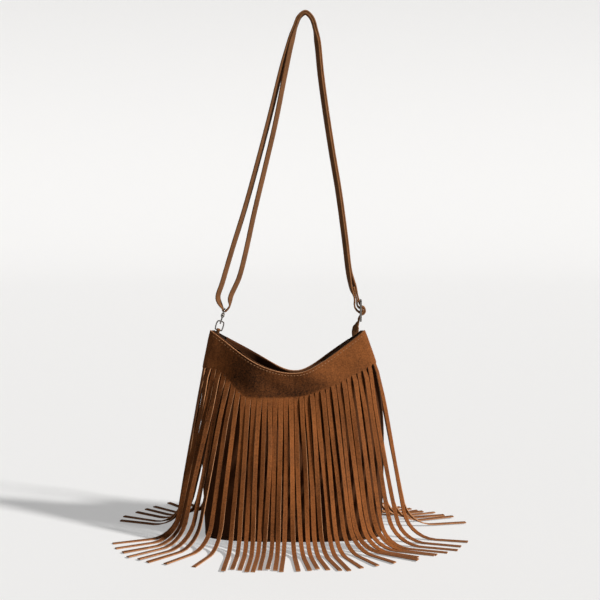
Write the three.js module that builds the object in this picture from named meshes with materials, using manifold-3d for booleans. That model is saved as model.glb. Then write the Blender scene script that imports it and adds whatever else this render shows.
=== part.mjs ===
// A fringed suede shoulder bag: a soft body on a flat oval base, a yoke cut into long strips all
// round that lie out on the floor, and one suede strap run double from a swivel hook to a slider.
// Millimetres, +Z up, +X to the right of the front view. The origin is the centre of the flat base.
import * as THREE from 'three';
import Module from 'manifold-3d';
import { mergeVertices } from 'three/addons/utils/BufferGeometryUtils.js';

const wasm = await Module();
wasm.setup();

// Body of the bag
const baseHalfWidth = 117;      // half length of the oval base
const baseHalfDepth = 42;
const sideBelly = 3.5;          // how far the sides swell between base and mouth
const depthBelly = 7;           // how far front and back swell
const mouthHalfWidth = 98;
const baseCentreX = -1;         // the bag leans a little to its left
const mouthCentreX = -8.2;
const rimLowHeight = 221.5;     // rim at the middle of the mouth
const rimCornerRise = 51.5;     // corners of the mouth above the middle
const rimRound = 15;            // how broad the rounded low of the rim is
const pinchX = 3;               // where the closed snap draws the mouth together
const pinchHalfDepth = 7.5;
const cornerHalfDepth = 14;
const leftLobeDepth = 13;       // extra half depth of the open mouth left of the snap
const rightLobeDepth = 7;
const leftLobeShift = -8;       // the left lobe is pushed forward, the right one back
const rightLobeShift = 5;
const pinchShift = -20;         // the closed snap leans forward over the yoke line
const pinchWidth = 40;
const leftRimSkew = 2.5;        // left of the snap the front rim sags and the back rim rises
const lobeStartLevel = 0.76;    // the wall starts to lean out here, just under the yoke line

// Layers of the wall, counted inwards from the outer face of the body panels
const panelThickness = 1.6;
const layerGap = 0.45;
const liningThickness = 0.8;
const facingThickness = 1.2;
const facingHeight = 24;
const facingEndColumns = 3;     // panel columns left free at both corners
const baseThickness = 2.2;
const seamGap = 0.3;            // free space between pieces that meet edge to edge

// Fringe
const suedeThickness = 1.4;
const yokeGap = 1.5;            // the yoke stands this far off the body panels
const stripCount = 34;          // strips on the front, and as many on the back
const stripWidth = 6.6;
const stripTail = 80;           // how much longer a strip is than its start is high
const stripTailLoss = 5;        // how much shorter the last strips on the right are
const yokeLineLow = 187;        // height of the line where the strips start, at the middle
const yokeLineLeftRise = 37;
const yokeLineRightRise = 44;
const yokeLineTurnStart = 0.49; // where the line turns up on the left, as parts of the way
const yokeLineTurnEnd = 0.9;
const sideBendRadius = 46;      // bend where a strip meets the floor
const frontBendRadius = 34;
const sideHangAngle = 9.5;      // lean of the hanging stretch, in degrees
const frontHangAngle = 7;
// Direction of the floor stretches, and sideways lean of the hanging ones, in degrees from straight
// ahead: each pair is a part of the way from the middle to the corner, and an angle
const tailTurnLeft = [[0, 2], [0.5, 5], [0.56, 22], [0.62, 34], [0.75, 47], [0.9, 60], [1, 74]];
const tailTurnRight = [[0, 4], [0.15, 11], [0.35, 19], [0.45, 33], [0.55, 54], [0.65, 68], [1, 76]];
const sideLeanLeft = [[0, 0], [0.3, 2.5], [0.5, 4], [0.6, 9], [0.7, 12], [0.85, 12], [1, 9.5]];
const sideLeanRight = [[0, 0.5], [0.3, 4], [0.5, 6.5], [0.65, 7], [0.8, 6.5], [1, 5]];
const facePull = 0.4;           // how far the strips at the sides turn their faces to front and back
const stripLayerStep = 1.9;     // every other strip hangs this much further out
const stripSway = 1.5;
const bodyClearance = 3.8;      // free space between the hanging strips and the body
const clearanceReach = 90;     // how far below their start the last strips come to that distance

// Strap and metal
const strapWidth = 9;
const strapThickness = 2.2;
const strapRise = 410;          // top of the strap above the corners of the mouth
const wireRadius = 0.9;         // ring and eye
const hookWireRadius = 1.1;
const fitGap = 0.3;             // running clearance between metal pieces
const ringInnerWidth = 7;
const ringInnerHeight = 10.2;
const hardwareTilt = 17;        // the left fittings lean with the side seam, in degrees
const sliderHeight = 28;
const sliderDepth = 14.4;
const sliderBar = 2.4;
const snapRadius = 7.5;
const snapThickness = 2.2;

const degree = Math.PI / 180;
const clamp01 = (v) => Math.min(1, Math.max(0, v));
const smooth = (v) => clamp01(v) ** 2 * (3 - 2 * clamp01(v));
const mix = (a, b, k) => a + (b - a) * k;
const between = (knots, v) => {
  const i = Math.max(1, knots.findIndex(([at]) => at >= v));
  const [[fromAt, from], [toAt, to]] = [knots[i - 1], knots[i]];
  return mix(from, to, clamp01((v - fromAt) / (toAt - fromAt)));
};
const scatter = (i, k) => {
  const v = Math.sin(i * 12.9898 + k * 78.233) * 43758.5453;
  return v - Math.floor(v);
};

// Colours and finishes
const suede = new THREE.MeshStandardMaterial({ color: 0x85481f, roughness: 0.95, metalness: 0 });
const suedeBody = new THREE.MeshStandardMaterial({ color: 0x74401d, roughness: 0.95, metalness: 0 });
const strapSuede = new THREE.MeshStandardMaterial({ color: 0x7d4a26, roughness: 0.9, metalness: 0 });
const liningCloth = new THREE.MeshStandardMaterial({ color: 0x3a2a20, roughness: 0.85, metalness: 0 });
const nickel = new THREE.MeshStandardMaterial({ color: 0x8f8c88, roughness: 0.3, metalness: 1 });
const steel = new THREE.MeshStandardMaterial({ color: 0x9a9a9a, roughness: 0.35, metalness: 1 });

const bag = new THREE.Group();

function addMesh(name, geometry, material) {
  const mesh = new THREE.Mesh(geometry, material);
  mesh.name = name;
  bag.add(mesh);
  return mesh;
}

// A sheet with thickness: quads of vertex keys, each key with a point on the outer and inner face
function sheetSolid(quads, outer, inner) {
  const index = new Map();
  const points = [];
  const pointOf = (key, face) => {
    const name = `${face}${key}`;
    if (!index.has(name)) {
      index.set(name, points.length / 3);
      points.push(...(face === 'o' ? outer(key) : inner(key)));
    }
    return index.get(name);
  };
  const faces = [];
  const addFace = (...corners) => {
    const ring = corners.filter((c, i) => c !== corners[(i + 1) % corners.length]);
    for (let i = 2; i < ring.length; i += 1) faces.push(ring[0], ring[i - 1], ring[i]);
  };
  const edges = new Map();
  for (const quad of quads) {
    addFace(...quad.map((key) => pointOf(key, 'o')));
    addFace(...[quad[0], ...quad.slice(1).reverse()].map((key) => pointOf(key, 'i')));
    quad.forEach((from, i) => {
      const to = quad[(i + 1) % quad.length];
      if (from === to) return;
      if (edges.has(`${to}|${from}`)) edges.delete(`${to}|${from}`);
      else edges.set(`${from}|${to}`, [from, to]);
    });
  }
  for (const [from, to] of edges.values()) {
    addFace(pointOf(to, 'o'), pointOf(from, 'o'), pointOf(from, 'i'), pointOf(to, 'i'));
  }
  const geometry = new THREE.BufferGeometry();
  geometry.setAttribute('position', new THREE.Float32BufferAttribute(points, 3));
  geometry.setIndex(faces);
  return geometry;
}

// Form of the wall. share runs 0..1 from the left seam to the right seam, level 0..1 from base to
// rim, side is -1 for the front and 1 for the back, inset counts inwards from the panel's face.
const wallFoot = baseThickness + seamGap;

function mouthX(share) {
  return mouthCentreX - mouthHalfWidth * Math.cos(Math.PI * share);
}

const leftLobe = (x) => (x < pinchX
  ? Math.sin(Math.PI * clamp01((pinchX - x) / (pinchX - mouthCentreX + mouthHalfWidth))) ** 2 : 0);
const rightLobe = (x) => (x > pinchX
  ? Math.sin(Math.PI * clamp01((x - pinchX) / (mouthCentreX + mouthHalfWidth - pinchX))) ** 2 : 0);

function rimHeight(x, side) {
  const reach = x < 0 ? mouthHalfWidth - mouthCentreX : mouthHalfWidth + mouthCentreX;
  const rise = (v) => Math.hypot(v, rimRound) - rimRound;
  return rimLowHeight + rimCornerRise * Math.min(1, rise(x) / rise(reach)) ** 1.2
    + side * leftRimSkew * leftLobe(x);
}

function yokeLineHeight(x) {
  if (x > 0) return yokeLineLow + yokeLineRightRise * (x / (mouthHalfWidth + mouthCentreX)) ** 1.3;
  const way = -x / (mouthHalfWidth - mouthCentreX);
  return yokeLineLow
    + yokeLineLeftRise * smooth((way - yokeLineTurnStart) / (yokeLineTurnEnd - yokeLineTurnStart));
}

function halfWidth(level) {
  const draw = Math.max(0, (level - 0.4) / 0.6) ** 3;
  const belly = baseHalfWidth + sideBelly * Math.sin(Math.PI * level);
  return mix(belly, mouthHalfWidth, draw);
}

function halfDepth(x, level) {
  const belly = baseHalfDepth + depthBelly * Math.sin(Math.PI * Math.min(1, level * 1.1));
  const away = Math.abs(x - pinchX) / (mouthHalfWidth + pinchX);
  const mouth = mix(pinchHalfDepth, cornerHalfDepth, clamp01(away) ** 2)
    + leftLobeDepth * leftLobe(x) + rightLobeDepth * rightLobe(x);
  return mix(belly, mouth, smooth((level - 0.4) / 0.5));
}

function wall(side, share, level, inset) {
  const x = mouthX(share);
  const squareness = mix(0.72, 1, smooth(level / 0.6));
  const cosine = Math.cos(Math.PI * share);
  const along = -Math.sign(cosine) * Math.abs(cosine) ** squareness;
  const across = Math.abs(Math.sin(Math.PI * share)) ** squareness;
  const push = pinchShift * Math.exp(-(((x - pinchX) / pinchWidth) ** 2));
  const shift = (push + leftLobeShift * leftLobe(x) + rightLobeShift * rightLobe(x))
    * clamp01((level - lobeStartLevel) / (1 - lobeStartLevel));
  const centreX = mix(baseCentreX, mouthCentreX, level ** 3);
  return [
    centreX + (halfWidth(level) - inset) * along,
    shift + side * ((halfDepth(x, level) - inset) * across + seamGap / 2),
    wallFoot + level * (rimHeight(x, side) - wallFoot),
  ];
}

function levelAt(share, height, side) {
  return (height - wallFoot) / (rimHeight(mouthX(share), side) - wallFoot);
}

// Shares at equal steps along the wall where the strips start
const girth = [0];
const girthSteps = 400;
const girthPoint = (i) => wall(-1, i / girthSteps, 0.82, 0);
for (let i = 1; i <= girthSteps; i += 1) {
  const [ax, ay] = girthPoint(i - 1);
  const [bx, by] = girthPoint(i);
  girth.push(girth[i - 1] + Math.hypot(bx - ax, by - ay));
}

function evenShare(part) {
  const target = part * girth[girthSteps];
  const i = Math.max(1, girth.findIndex((v) => v >= target - 1e-9));
  return (i - 1 + (target - girth[i - 1]) / (girth[i] - girth[i - 1])) / girthSteps;
}

const quad = (a, b, c, d, flip) => (flip ? [d, c, b, a] : [a, b, c, d]);
const grid = (cols, rows, flip) => {
  const quads = [];
  for (let i = 0; i < cols; i += 1) {
    for (let j = 0; j < rows; j += 1) {
      quads.push(quad(`${i},${j}`, `${i + 1},${j}`, `${i + 1},${j + 1}`, `${i},${j + 1}`, flip));
    }
  }
  return quads;
};
const parts = (key) => key.split(',').map(Number);

// Front and back body panels
const panelColumns = stripCount;    // the same stations in every layer, so that the gaps stay even
const leanRows = 3;                 // rows in the part that leans out
const panelRows = leanRows + 5;
const panelLevel = (j) => (j > panelRows - leanRows
  ? mix(1, lobeStartLevel, (panelRows - j) / leanRows)
  : lobeStartLevel * j / (panelRows - leanRows));

function bodyPanel(side) {
  const at = (key, inset) => {
    const [i, j] = parts(key);
    return wall(side, evenShare(i / panelColumns), panelLevel(j), inset);
  };
  return sheetSolid(grid(panelColumns, panelRows, side > 0),
    (key) => at(key, 0), (key) => at(key, panelThickness));
}
addMesh('front_body_panel', bodyPanel(-1), suedeBody);
addMesh('back_body_panel', bodyPanel(1), suedeBody);

// Flat base: the board and suede sewn to the foot of both panels
function basePanel() {
  const outline = new THREE.Shape();
  const ends = panelColumns;
  for (let i = 0; i <= ends; i += 1) {
    const [x, y] = wall(-1, evenShare(i / ends), 0, 0);
    if (i === 0) outline.moveTo(x, y);
    else outline.lineTo(x, y);
  }
  for (let i = ends; i >= 0; i -= 1) {
    const [x, y] = wall(1, evenShare(i / ends), 0, 0);
    outline.lineTo(x, y);
  }
  return new THREE.ExtrudeGeometry(outline, { depth: baseThickness, bevelEnabled: false });
}
addMesh('base_panel', basePanel(), suedeBody);

// Lining: one cloth pot that follows the wall and floor from inside
const liningInset = panelThickness + layerGap;

function lining() {
  const cols = panelColumns;
  const rows = panelRows;
  const quads = [];
  const name = (side, i, j) => (i === 0 || i === cols ? `0,${i},${j}` : `${side},${i},${j}`);
  for (const side of [-1, 1]) {
    for (let i = 0; i < cols; i += 1) {
      for (let j = 0; j < rows; j += 1) {
        quads.push(quad(name(side, i, j), name(side, i + 1, j), name(side, i + 1, j + 1),
          name(side, i, j + 1), side > 0));
      }
    }
  }
  for (let i = 0; i < cols; i += 1) {
    quads.push([name(-1, i, 0), name(1, i, 0), name(1, i + 1, 0), name(-1, i + 1, 0)]);
  }
  const at = (key, inset, lift) => {
    const [side, i, j] = parts(key);
    const point = wall(side || 1, evenShare(i / cols), panelLevel(j), inset);
    if (side === 0) point[1] -= seamGap / 2;
    if (j === 0) point[2] += lift;
    return point;
  };
  return sheetSolid(quads, (key) => at(key, liningInset, seamGap),
    (key) => at(key, liningInset + liningThickness, seamGap + liningThickness));
}
addMesh('lining', lining(), liningCloth);

// Suede facings sewn inside the rim, between the side tab and the sewn end of the strap
const facingInset = liningInset + liningThickness + layerGap;

function rimFacing(side) {
  const cols = panelColumns - 2 * facingEndColumns;
  const rows = 3;
  const at = (key, inset) => {
    const [i, j] = parts(key);
    const share = evenShare((i + facingEndColumns) / panelColumns);
    const low = levelAt(share, rimHeight(mouthX(share), side) - facingHeight, side);
    return wall(side, share, mix(low, 1, j / rows), inset);
  };
  return sheetSolid(grid(cols, rows, side > 0), (key) => at(key, facingInset),
    (key) => at(key, facingInset + facingThickness));
}
addMesh('front_rim_facing', rimFacing(-1), suede);
addMesh('back_rim_facing', rimFacing(1), suede);

// Fringe panels: a yoke along the rim, cut into strips below the yoke line
const fringeInset = -yokeGap;
const stripPitch = girth[girthSteps] / stripCount;

function outward(side, share, level) {
  const step = 0.004;
  const [ax, ay] = wall(side, Math.max(0, share - step), level, 0);
  const [bx, by] = wall(side, Math.min(1, share + step), level, 0);
  return Math.atan2((bx - ax) * side, (by - ay) * -side);
}

const hangLevel = 0.5;      // the strips hang the way the wall faces at this level

function stripPath(side, strip) {
  const part = (strip + 0.5) / stripCount;
  const share = evenShare(part);
  const across = 2 * part - 1;
  const hand = Math.sign(across);
  const reach = Math.abs(across);
  const seed = side > 0 ? strip + 500 : strip;
  const x = mouthX(share);
  const level = levelAt(share, yokeLineHeight(x), side);
  const start = wall(side, share, level, fringeInset - suedeThickness / 2);
  const startTurn = outward(side, share, hangLevel);
  const stray = (reach > 0.5 ? 5 : 1) * (scatter(seed, 1) - 0.5);
  const tail = between(hand < 0 ? tailTurnLeft : tailTurnRight, reach) + stray;
  const endTurn = side * (90 - hand * tail) * degree;
  const facing = (p, turn) => p[0] * Math.cos(turn) + p[1] * Math.sin(turn);
  let hang = mix(frontHangAngle, sideHangAngle, reach) * degree;
  for (let low = 0.2; low < level - 0.08; low += 0.04) {
    const body = wall(side, share, low, 0);
    const drop = start[2] - body[2];
    const out = facing(body, startTurn) - facing(start, startTurn)
      + (suedeThickness + bodyClearance) * clamp01(drop / mix(1, clearanceReach, reach ** 2));
    hang = Math.max(hang, Math.atan2(out, drop));
  }
  const sideways = Math.tan(between(hand < 0 ? sideLeanLeft : sideLeanRight, reach) * degree);
  const ahead = [hand * Math.max(sideways, Math.abs(Math.tan(hang) * Math.cos(startTurn))),
    Math.tan(hang) * Math.sin(startTurn)];
  const hangLean = Math.atan(Math.hypot(...ahead));
  const hangTurn = Math.atan2(ahead[1], ahead[0]);
  const radius = mix(frontBendRadius, sideBendRadius, reach) * (0.85 + 0.3 * scatter(seed, 2));
  const floor = suedeThickness / 2;
  const hangLength = (start[2] - floor - radius * (1 - Math.sin(hangLean))) / Math.cos(hangLean);
  const bendLength = radius * (Math.PI / 2 - hangLean);
  const length = start[2] + stripTail - stripTailLoss * Math.max(0, across) ** 2
    + 12 * (scatter(seed, 3) - 0.5);
  const leanAt = (along) => mix(hangLean, Math.PI / 2, clamp01((along - hangLength) / bendLength));
  const turnAt = (along) => mix(hangTurn, endTurn,
    smooth((along - 0.8 * hangLength) / (1.3 * bendLength)));
  const stations = [0, 14, hangLength * 0.55, hangLength, hangLength + bendLength * 0.4,
    hangLength + bendLength * 0.75, hangLength + bendLength, length];
  const sway = stripSway * (scatter(seed, 4) - 0.5) * 2;
  const place = new THREE.Vector3(...start);
  const path = [];
  const step = 1;
  let along = 0;
  const heading = (at) => new THREE.Vector3(Math.sin(leanAt(at)) * Math.cos(turnAt(at)),
    Math.sin(leanAt(at)) * Math.sin(turnAt(at)), -Math.cos(leanAt(at)));
  for (const station of stations) {
    while (along < station - 1e-9) {
      const move = Math.min(step, station - along);
      place.addScaledVector(heading(along + move / 2), move);
      along += move;
    }
    const lean = leanAt(along);
    const face = mix(startTurn, side * Math.PI / 2, facePull * reach * smooth(along / 50));
    const tangent = heading(along);
    const outer = new THREE.Vector3(Math.cos(lean) * Math.cos(face), Math.cos(lean) * Math.sin(face),
      Math.sin(lean));
    outer.addScaledVector(tangent, -outer.dot(tangent)).normalize();
    const wide = new THREE.Vector3().crossVectors(outer, tangent).multiplyScalar(-side);
    const settle = smooth(along / 14) * (1 - smooth((along - hangLength) / bendLength));
    const layer = (strip % 2) * stripLayerStep * settle;
    const drift = sway * Math.sin(Math.PI * clamp01(along / length) * 1.5);
    const centre = place.clone().addScaledVector(outer, layer).addScaledVector(wide, drift);
    path.push({ centre: centre.toArray(), outer: outer.toArray(), wide: wide.toArray() });
  }
  return path;
}

function fringePanel(side) {
  const paths = [];
  for (let i = 0; i < stripCount; i += 1) paths.push(stripPath(side, i));
  const rows = 2;
  const halfCut = (1 - stripWidth / stripPitch) / 2 / stripCount;
  const columnPart = (c) => (Math.floor(c / 2) + (c % 2)) / stripCount + (c % 2 ? -halfCut : halfCut);
  const quads = [];
  for (let c = 0; c < 2 * stripCount - 1; c += 1) {
    for (let r = 0; r < rows; r += 1) {
      quads.push(quad(`${c},${r}`, `${c + 1},${r}`, `${c + 1},${r + 1}`, `${c},${r + 1}`, side > 0));
    }
  }
  paths.forEach((path, strip) => {
    for (let m = 1; m < path.length; m += 1) {
      const left = (k) => (k === 0 ? `${2 * strip},0` : `${2 * strip},${-k}`);
      const right = (k) => (k === 0 ? `${2 * strip + 1},0` : `${2 * strip + 1},${-k}`);
      quads.push(quad(left(m), right(m), right(m - 1), left(m - 1), side > 0));
    }
  });
  const at = (key, face) => {
    const [c, r] = parts(key);
    if (r >= 0) {
      const share = evenShare(columnPart(c));
      const low = levelAt(share, yokeLineHeight(mouthX(share)), side);
      return wall(side, share, mix(low, 1, r / rows),
        fringeInset - (face > 0 ? suedeThickness : 0));
    }
    const station = paths[Math.floor(c / 2)][-r];
    const half = (c % 2 ? 1 : -1) * stripWidth / 2;
    return station.centre.map((v, i) => v + station.wide[i] * half
      + station.outer[i] * face * suedeThickness / 2);
  };
  return sheetSolid(quads, (key) => at(key, 1), (key) => at(key, -1));
}
addMesh('front_fringe_panel', fringePanel(-1), suede);
addMesh('back_fringe_panel', fringePanel(1), suede);

// Solids for small metal pieces
function solidOf(geometry) {
  const merged = geometry.clone();
  merged.deleteAttribute('normal');
  merged.deleteAttribute('uv');
  const welded = mergeVertices(merged, 1e-4);
  return new wasm.Manifold(new wasm.Mesh({
    numProp: 3,
    vertProperties: new Float32Array(welded.attributes.position.array),
    triVerts: new Uint32Array(welded.index.array),
  }));
}

function geometryOf(solid) {
  const mesh = solid.getMesh();
  const geometry = new THREE.BufferGeometry();
  geometry.setAttribute('position', new THREE.Float32BufferAttribute(mesh.vertProperties, 3));
  geometry.setIndex(new THREE.BufferAttribute(new Uint32Array(mesh.triVerts), 1));
  return geometry;
}

// A wire with a round section along a line of points, open or joined end to end
function wire(points, radius, closed, stepsPerPoint = 2, sides = 6) {
  const curve = new THREE.CatmullRomCurve3(points.map((p) => new THREE.Vector3(...p)), closed,
    'centripetal');
  if (closed) return new THREE.TubeGeometry(curve, points.length * stepsPerPoint, radius, sides, true);
  const section = new THREE.Shape();
  section.absarc(0, 0, radius, 0, 2 * Math.PI);
  return new THREE.ExtrudeGeometry(section, {
    extrudePath: curve, steps: points.length * stepsPerPoint, curveSegments: sides, bevelEnabled: false,
  });
}

// Left fittings, in a frame whose z runs up along the leaning hardware from the ring's lower bar
const fittings = new THREE.Group();
const cornerHeight = rimLowHeight + rimCornerRise;
const ringBar = [mouthCentreX - mouthHalfWidth + 7.8, 0, cornerHeight + 0.2];
fittings.position.set(...ringBar);
fittings.rotation.y = hardwareTilt * degree;
bag.add(fittings);
const addFitting = (name, geometry, material) => fittings.add(addMesh(name, geometry, material));

const ringHalf = ringInnerWidth / 2 + wireRadius;
const ringTop = ringInnerHeight + 2 * wireRadius;
const ringCorner = 2.6;
const ringPoints = [
  [-ringHalf + 0.8, 0, 0], [0, 0, 0], [ringHalf - 0.8, 0, 0], [ringHalf, 0, 0.9],
  [ringHalf, 0, ringTop / 2], [ringHalf, 0, ringTop - ringCorner],
  [ringHalf - ringCorner * 0.3, 0, ringTop - ringCorner * 0.3],
  [ringHalf - ringCorner, 0, ringTop], [-ringHalf + ringCorner, 0, ringTop],
  [-ringHalf + ringCorner * 0.3, 0, ringTop - ringCorner * 0.3],
  [-ringHalf, 0, ringTop - ringCorner], [-ringHalf, 0, ringTop / 2], [-ringHalf, 0, 0.9],
];
addFitting('d_ring', wire(ringPoints, wireRadius, true), nickel);

// Swivel hook: its loop stands across the ring and holds the ring's upper bar
const hookBottom = ringTop - wireRadius - hookWireRadius - 0.5;
const hookHalf = 4.3;
const bossLow = hookBottom + 9;
const bossHeight = 2.7;
const bossTop = bossLow + bossHeight;
const bossRadius = 2.5;
const postRadius = 0.9;
const pinY = hookHalf;
const pinZ = bossLow - 0.4;
const pinRadius = 0.5;
const earHole = pinRadius + fitGap;
const earOuterX = 2;
const earInnerX = 1.35;
const noseTop = hookBottom + 3.8;
const armHeight = 1.4;

function alongX(radius, length, x, y, z, sides = 10) {
  return new THREE.CylinderGeometry(radius, radius, length, sides)
    .rotateZ(Math.PI / 2).translate(x, y, z);
}

function alongZ(radius, low, high, sides = 12) {
  return new THREE.CylinderGeometry(radius, radius, high - low, sides)
    .rotateX(Math.PI / 2).translate(0, 0, (low + high) / 2);
}

function hookBody() {
  const loop = wire([
    [0, -1.4, bossLow + 1.2], [0, -hookHalf + 1, bossLow + 0.9], [0, -hookHalf, bossLow - 1.5],
    [0, -hookHalf, hookBottom + 3], [0, -hookHalf + 0.7, hookBottom + 0.8],
    [0, -hookHalf + 2.4, hookBottom], [0, hookHalf - 2.4, hookBottom],
    [0, hookHalf - 0.7, hookBottom + 0.8], [0, hookHalf, hookBottom + 2.6], [0, hookHalf, noseTop],
  ], hookWireRadius, false);
  const boss = alongZ(bossRadius, bossLow, bossTop);
  const arm = new THREE.BoxGeometry(2 * earOuterX, pinY + 0.6, armHeight)
    .translate(0, (pinY + 0.6) / 2, bossTop - armHeight / 2);
  const ears = [-1, 1].map((hand) => new THREE.BoxGeometry(earOuterX - earInnerX, 2.6, 3.2)
    .translate(hand * (earOuterX + earInnerX) / 2, pinY, pinZ + 0.5));
  const joined = [loop, arm, ...ears].reduce((sum, piece) => sum.add(solidOf(piece)), solidOf(boss));
  return geometryOf(joined
    .subtract(solidOf(alongZ(postRadius + fitGap, bossLow - 1, bossTop + 1)))
    .subtract(solidOf(alongX(earHole, 2 * earOuterX + 1, 0, pinY, pinZ))));
}
addFitting('hook_body', hookBody(), nickel);

// Gate: a sprung finger that turns on a pin between the ears of the hook
const gateRadius = 0.85;
const barrelRadius = 1.25;
const gateTip = noseTop + fitGap;

function hookGate() {
  const barrel = alongX(barrelRadius, 1.1, -0.45, pinY, pinZ);
  const finger = new THREE.CylinderGeometry(gateRadius, gateRadius, pinZ - 1 - gateTip, 10)
    .rotateX(Math.PI / 2).translate(-0.1, pinY, (pinZ - 1 + gateTip) / 2);
  const thumb = new THREE.SphereGeometry(0.9, 10, 8).translate(-0.1, pinY + 0.9, pinZ - 2.6);
  return geometryOf(solidOf(barrel).add(solidOf(finger)).add(solidOf(thumb))
    .subtract(solidOf(alongX(earHole, 4, 0, pinY, pinZ))));
}
addFitting('hook_gate', hookGate(), nickel);
addFitting('gate_pin', alongX(pinRadius, 2 * earOuterX, 0, pinY, pinZ), steel);

const springTurns = 2.5;
const springSteps = 7;
const springPoints = [];
for (let i = 0; i <= springTurns * springSteps; i += 1) {
  const turn = i / springSteps * 2 * Math.PI;
  springPoints.push([0.3 + i * 0.85 / (springTurns * springSteps), pinY + 0.95 * Math.cos(turn),
    pinZ + 0.95 * Math.sin(turn)]);
}
addFitting('gate_spring', wire(springPoints, 0.12, false, 1, 4), steel);

// Swivel eye: the strap passes through its window, and its post turns in the hook's boss
const collarHeight = 1.4;
const eyeFoot = bossTop + fitGap + collarHeight;
const eyeBarZ = eyeFoot + 5.4;
const eyeHalf = strapWidth / 2 + 0.4 + wireRadius;

function swivelEye() {
  const corner = 1.3;
  const window = wire([
    [0, -eyeHalf + corner, eyeFoot], [0, 0, eyeFoot], [0, eyeHalf - corner, eyeFoot],
    [0, eyeHalf - 0.3, eyeFoot + 0.4], [0, eyeHalf, eyeFoot + corner], [0, eyeHalf, eyeBarZ - corner],
    [0, eyeHalf - 0.3, eyeBarZ - 0.4], [0, eyeHalf - corner, eyeBarZ], [0, -eyeHalf + corner, eyeBarZ],
    [0, -eyeHalf + 0.3, eyeBarZ - 0.4], [0, -eyeHalf, eyeBarZ - corner], [0, -eyeHalf, eyeFoot + corner],
    [0, -eyeHalf + 0.3, eyeFoot + 0.4],
  ], wireRadius, true, 2);
  const collar = alongZ(2.1, bossTop + fitGap, eyeFoot + 0.3);
  const post = alongZ(postRadius, bossLow - fitGap - 0.9, eyeFoot, 12);
  const head = alongZ(1.6, bossLow - fitGap - 1.2, bossLow - fitGap, 12);
  return geometryOf([collar, post, head].reduce((sum, piece) => sum.add(solidOf(piece)), solidOf(window)));
}
addFitting('swivel_eye', swivelEye(), nickel);

// A flat strip along a line of stations: each has a place and the way its outer face looks
function ribbon(stations, width, thickness, stepsPerStation) {
  const places = new THREE.CatmullRomCurve3(stations.map((s) => new THREE.Vector3(s[0], s[1], s[2])));
  const looks = new THREE.CatmullRomCurve3(stations.map((s) => new THREE.Vector3(s[3], s[4], s[5])));
  const steps = (stations.length - 1) * stepsPerStation;
  const frames = [];
  for (let i = 0; i <= steps; i += 1) {
    const along = i / steps;
    const place = places.getPoint(along);
    const tangent = places.getTangent(along);
    const look = looks.getPoint(along);
    look.addScaledVector(tangent, -look.dot(tangent)).normalize();
    frames.push({ place, look, wide: new THREE.Vector3().crossVectors(tangent, look) });
  }
  const at = (key, face) => {
    const [i, j] = parts(key);
    const frame = frames[j];
    return frame.place.clone().addScaledVector(frame.wide, (i - 0.5) * width)
      .addScaledVector(frame.look, face * thickness / 2).toArray();
  };
  return sheetSolid(grid(1, steps, false), (key) => at(key, 1), (key) => at(key, -1));
}

// Side tab: a short suede strip folded round the ring's bar and sewn in the corner
const tabWidth = 4.6;
const tabThickness = 1;
const tabDepth = 13;
const tabWrap = 220;      // how far the tab goes round the bar, in degrees
const tabRound = wireRadius + 0.2 + tabThickness / 2;
const tabClosed = tabThickness / 2 + 0.12;
const tabStations = [[0, tabClosed, -tabDepth, 0, 1, 0], [0, tabClosed, -8, 0, 1, 0],
  [0, tabClosed + 0.2, -3.2, 0, 1, 0.1]];
for (let i = 0; i <= 6; i += 1) {
  const turn = mix(90 - tabWrap / 2, 90 + tabWrap / 2, i / 6) * degree;
  tabStations.push([0, tabRound * Math.cos(turn), tabRound * Math.sin(turn), 0, Math.cos(turn),
    Math.sin(turn)]);
}
tabStations.push([0, -tabClosed - 0.2, -3.2, 0, -1, 0.1], [0, -tabClosed, -8, 0, -1, 0],
  [0, -tabClosed, -tabDepth, 0, -1, 0]);
addFitting('side_tab', ribbon(tabStations, tabWidth, tabThickness, 2), strapSuede);

// Slider: a flat frame with three bars, seen edge on from the front
const sliderPlace = [mouthCentreX + mouthHalfWidth - 2.8, 0, cornerHeight + 26];
const barHalf = sliderBar / 2;
const barPitch = sliderHeight / 2 - barHalf;

function sliderFrame() {
  const half = sliderDepth / 2;
  const outline = new THREE.Shape();
  const round = 1.6;
  outline.absarc(half - round, sliderHeight / 2 - round, round, 0, Math.PI / 2);
  outline.absarc(-half + round, sliderHeight / 2 - round, round, Math.PI / 2, Math.PI);
  outline.absarc(-half + round, -sliderHeight / 2 + round, round, Math.PI, 1.5 * Math.PI);
  outline.absarc(half - round, -sliderHeight / 2 + round, round, 1.5 * Math.PI, 2 * Math.PI);
  const windowHalf = strapWidth / 2 + 0.4;
  for (const hand of [-1, 1]) {
    const low = hand > 0 ? barHalf : -barPitch + barHalf;
    const high = hand > 0 ? barPitch - barHalf : -barHalf;
    const hole = new THREE.Path();
    hole.moveTo(-windowHalf, low);
    hole.lineTo(windowHalf, low);
    hole.lineTo(windowHalf, high);
    hole.lineTo(-windowHalf, high);
    hole.closePath();
    outline.holes.push(hole);
  }
  return new THREE.ExtrudeGeometry(outline, {
    depth: sliderBar, curveSegments: 3, bevelEnabled: false,
  }).translate(0, 0, -barHalf).rotateX(Math.PI / 2).rotateZ(Math.PI / 2);
}
const slider = addMesh('strap_slider', sliderFrame(), nickel);
slider.position.set(...sliderPlace);

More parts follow.
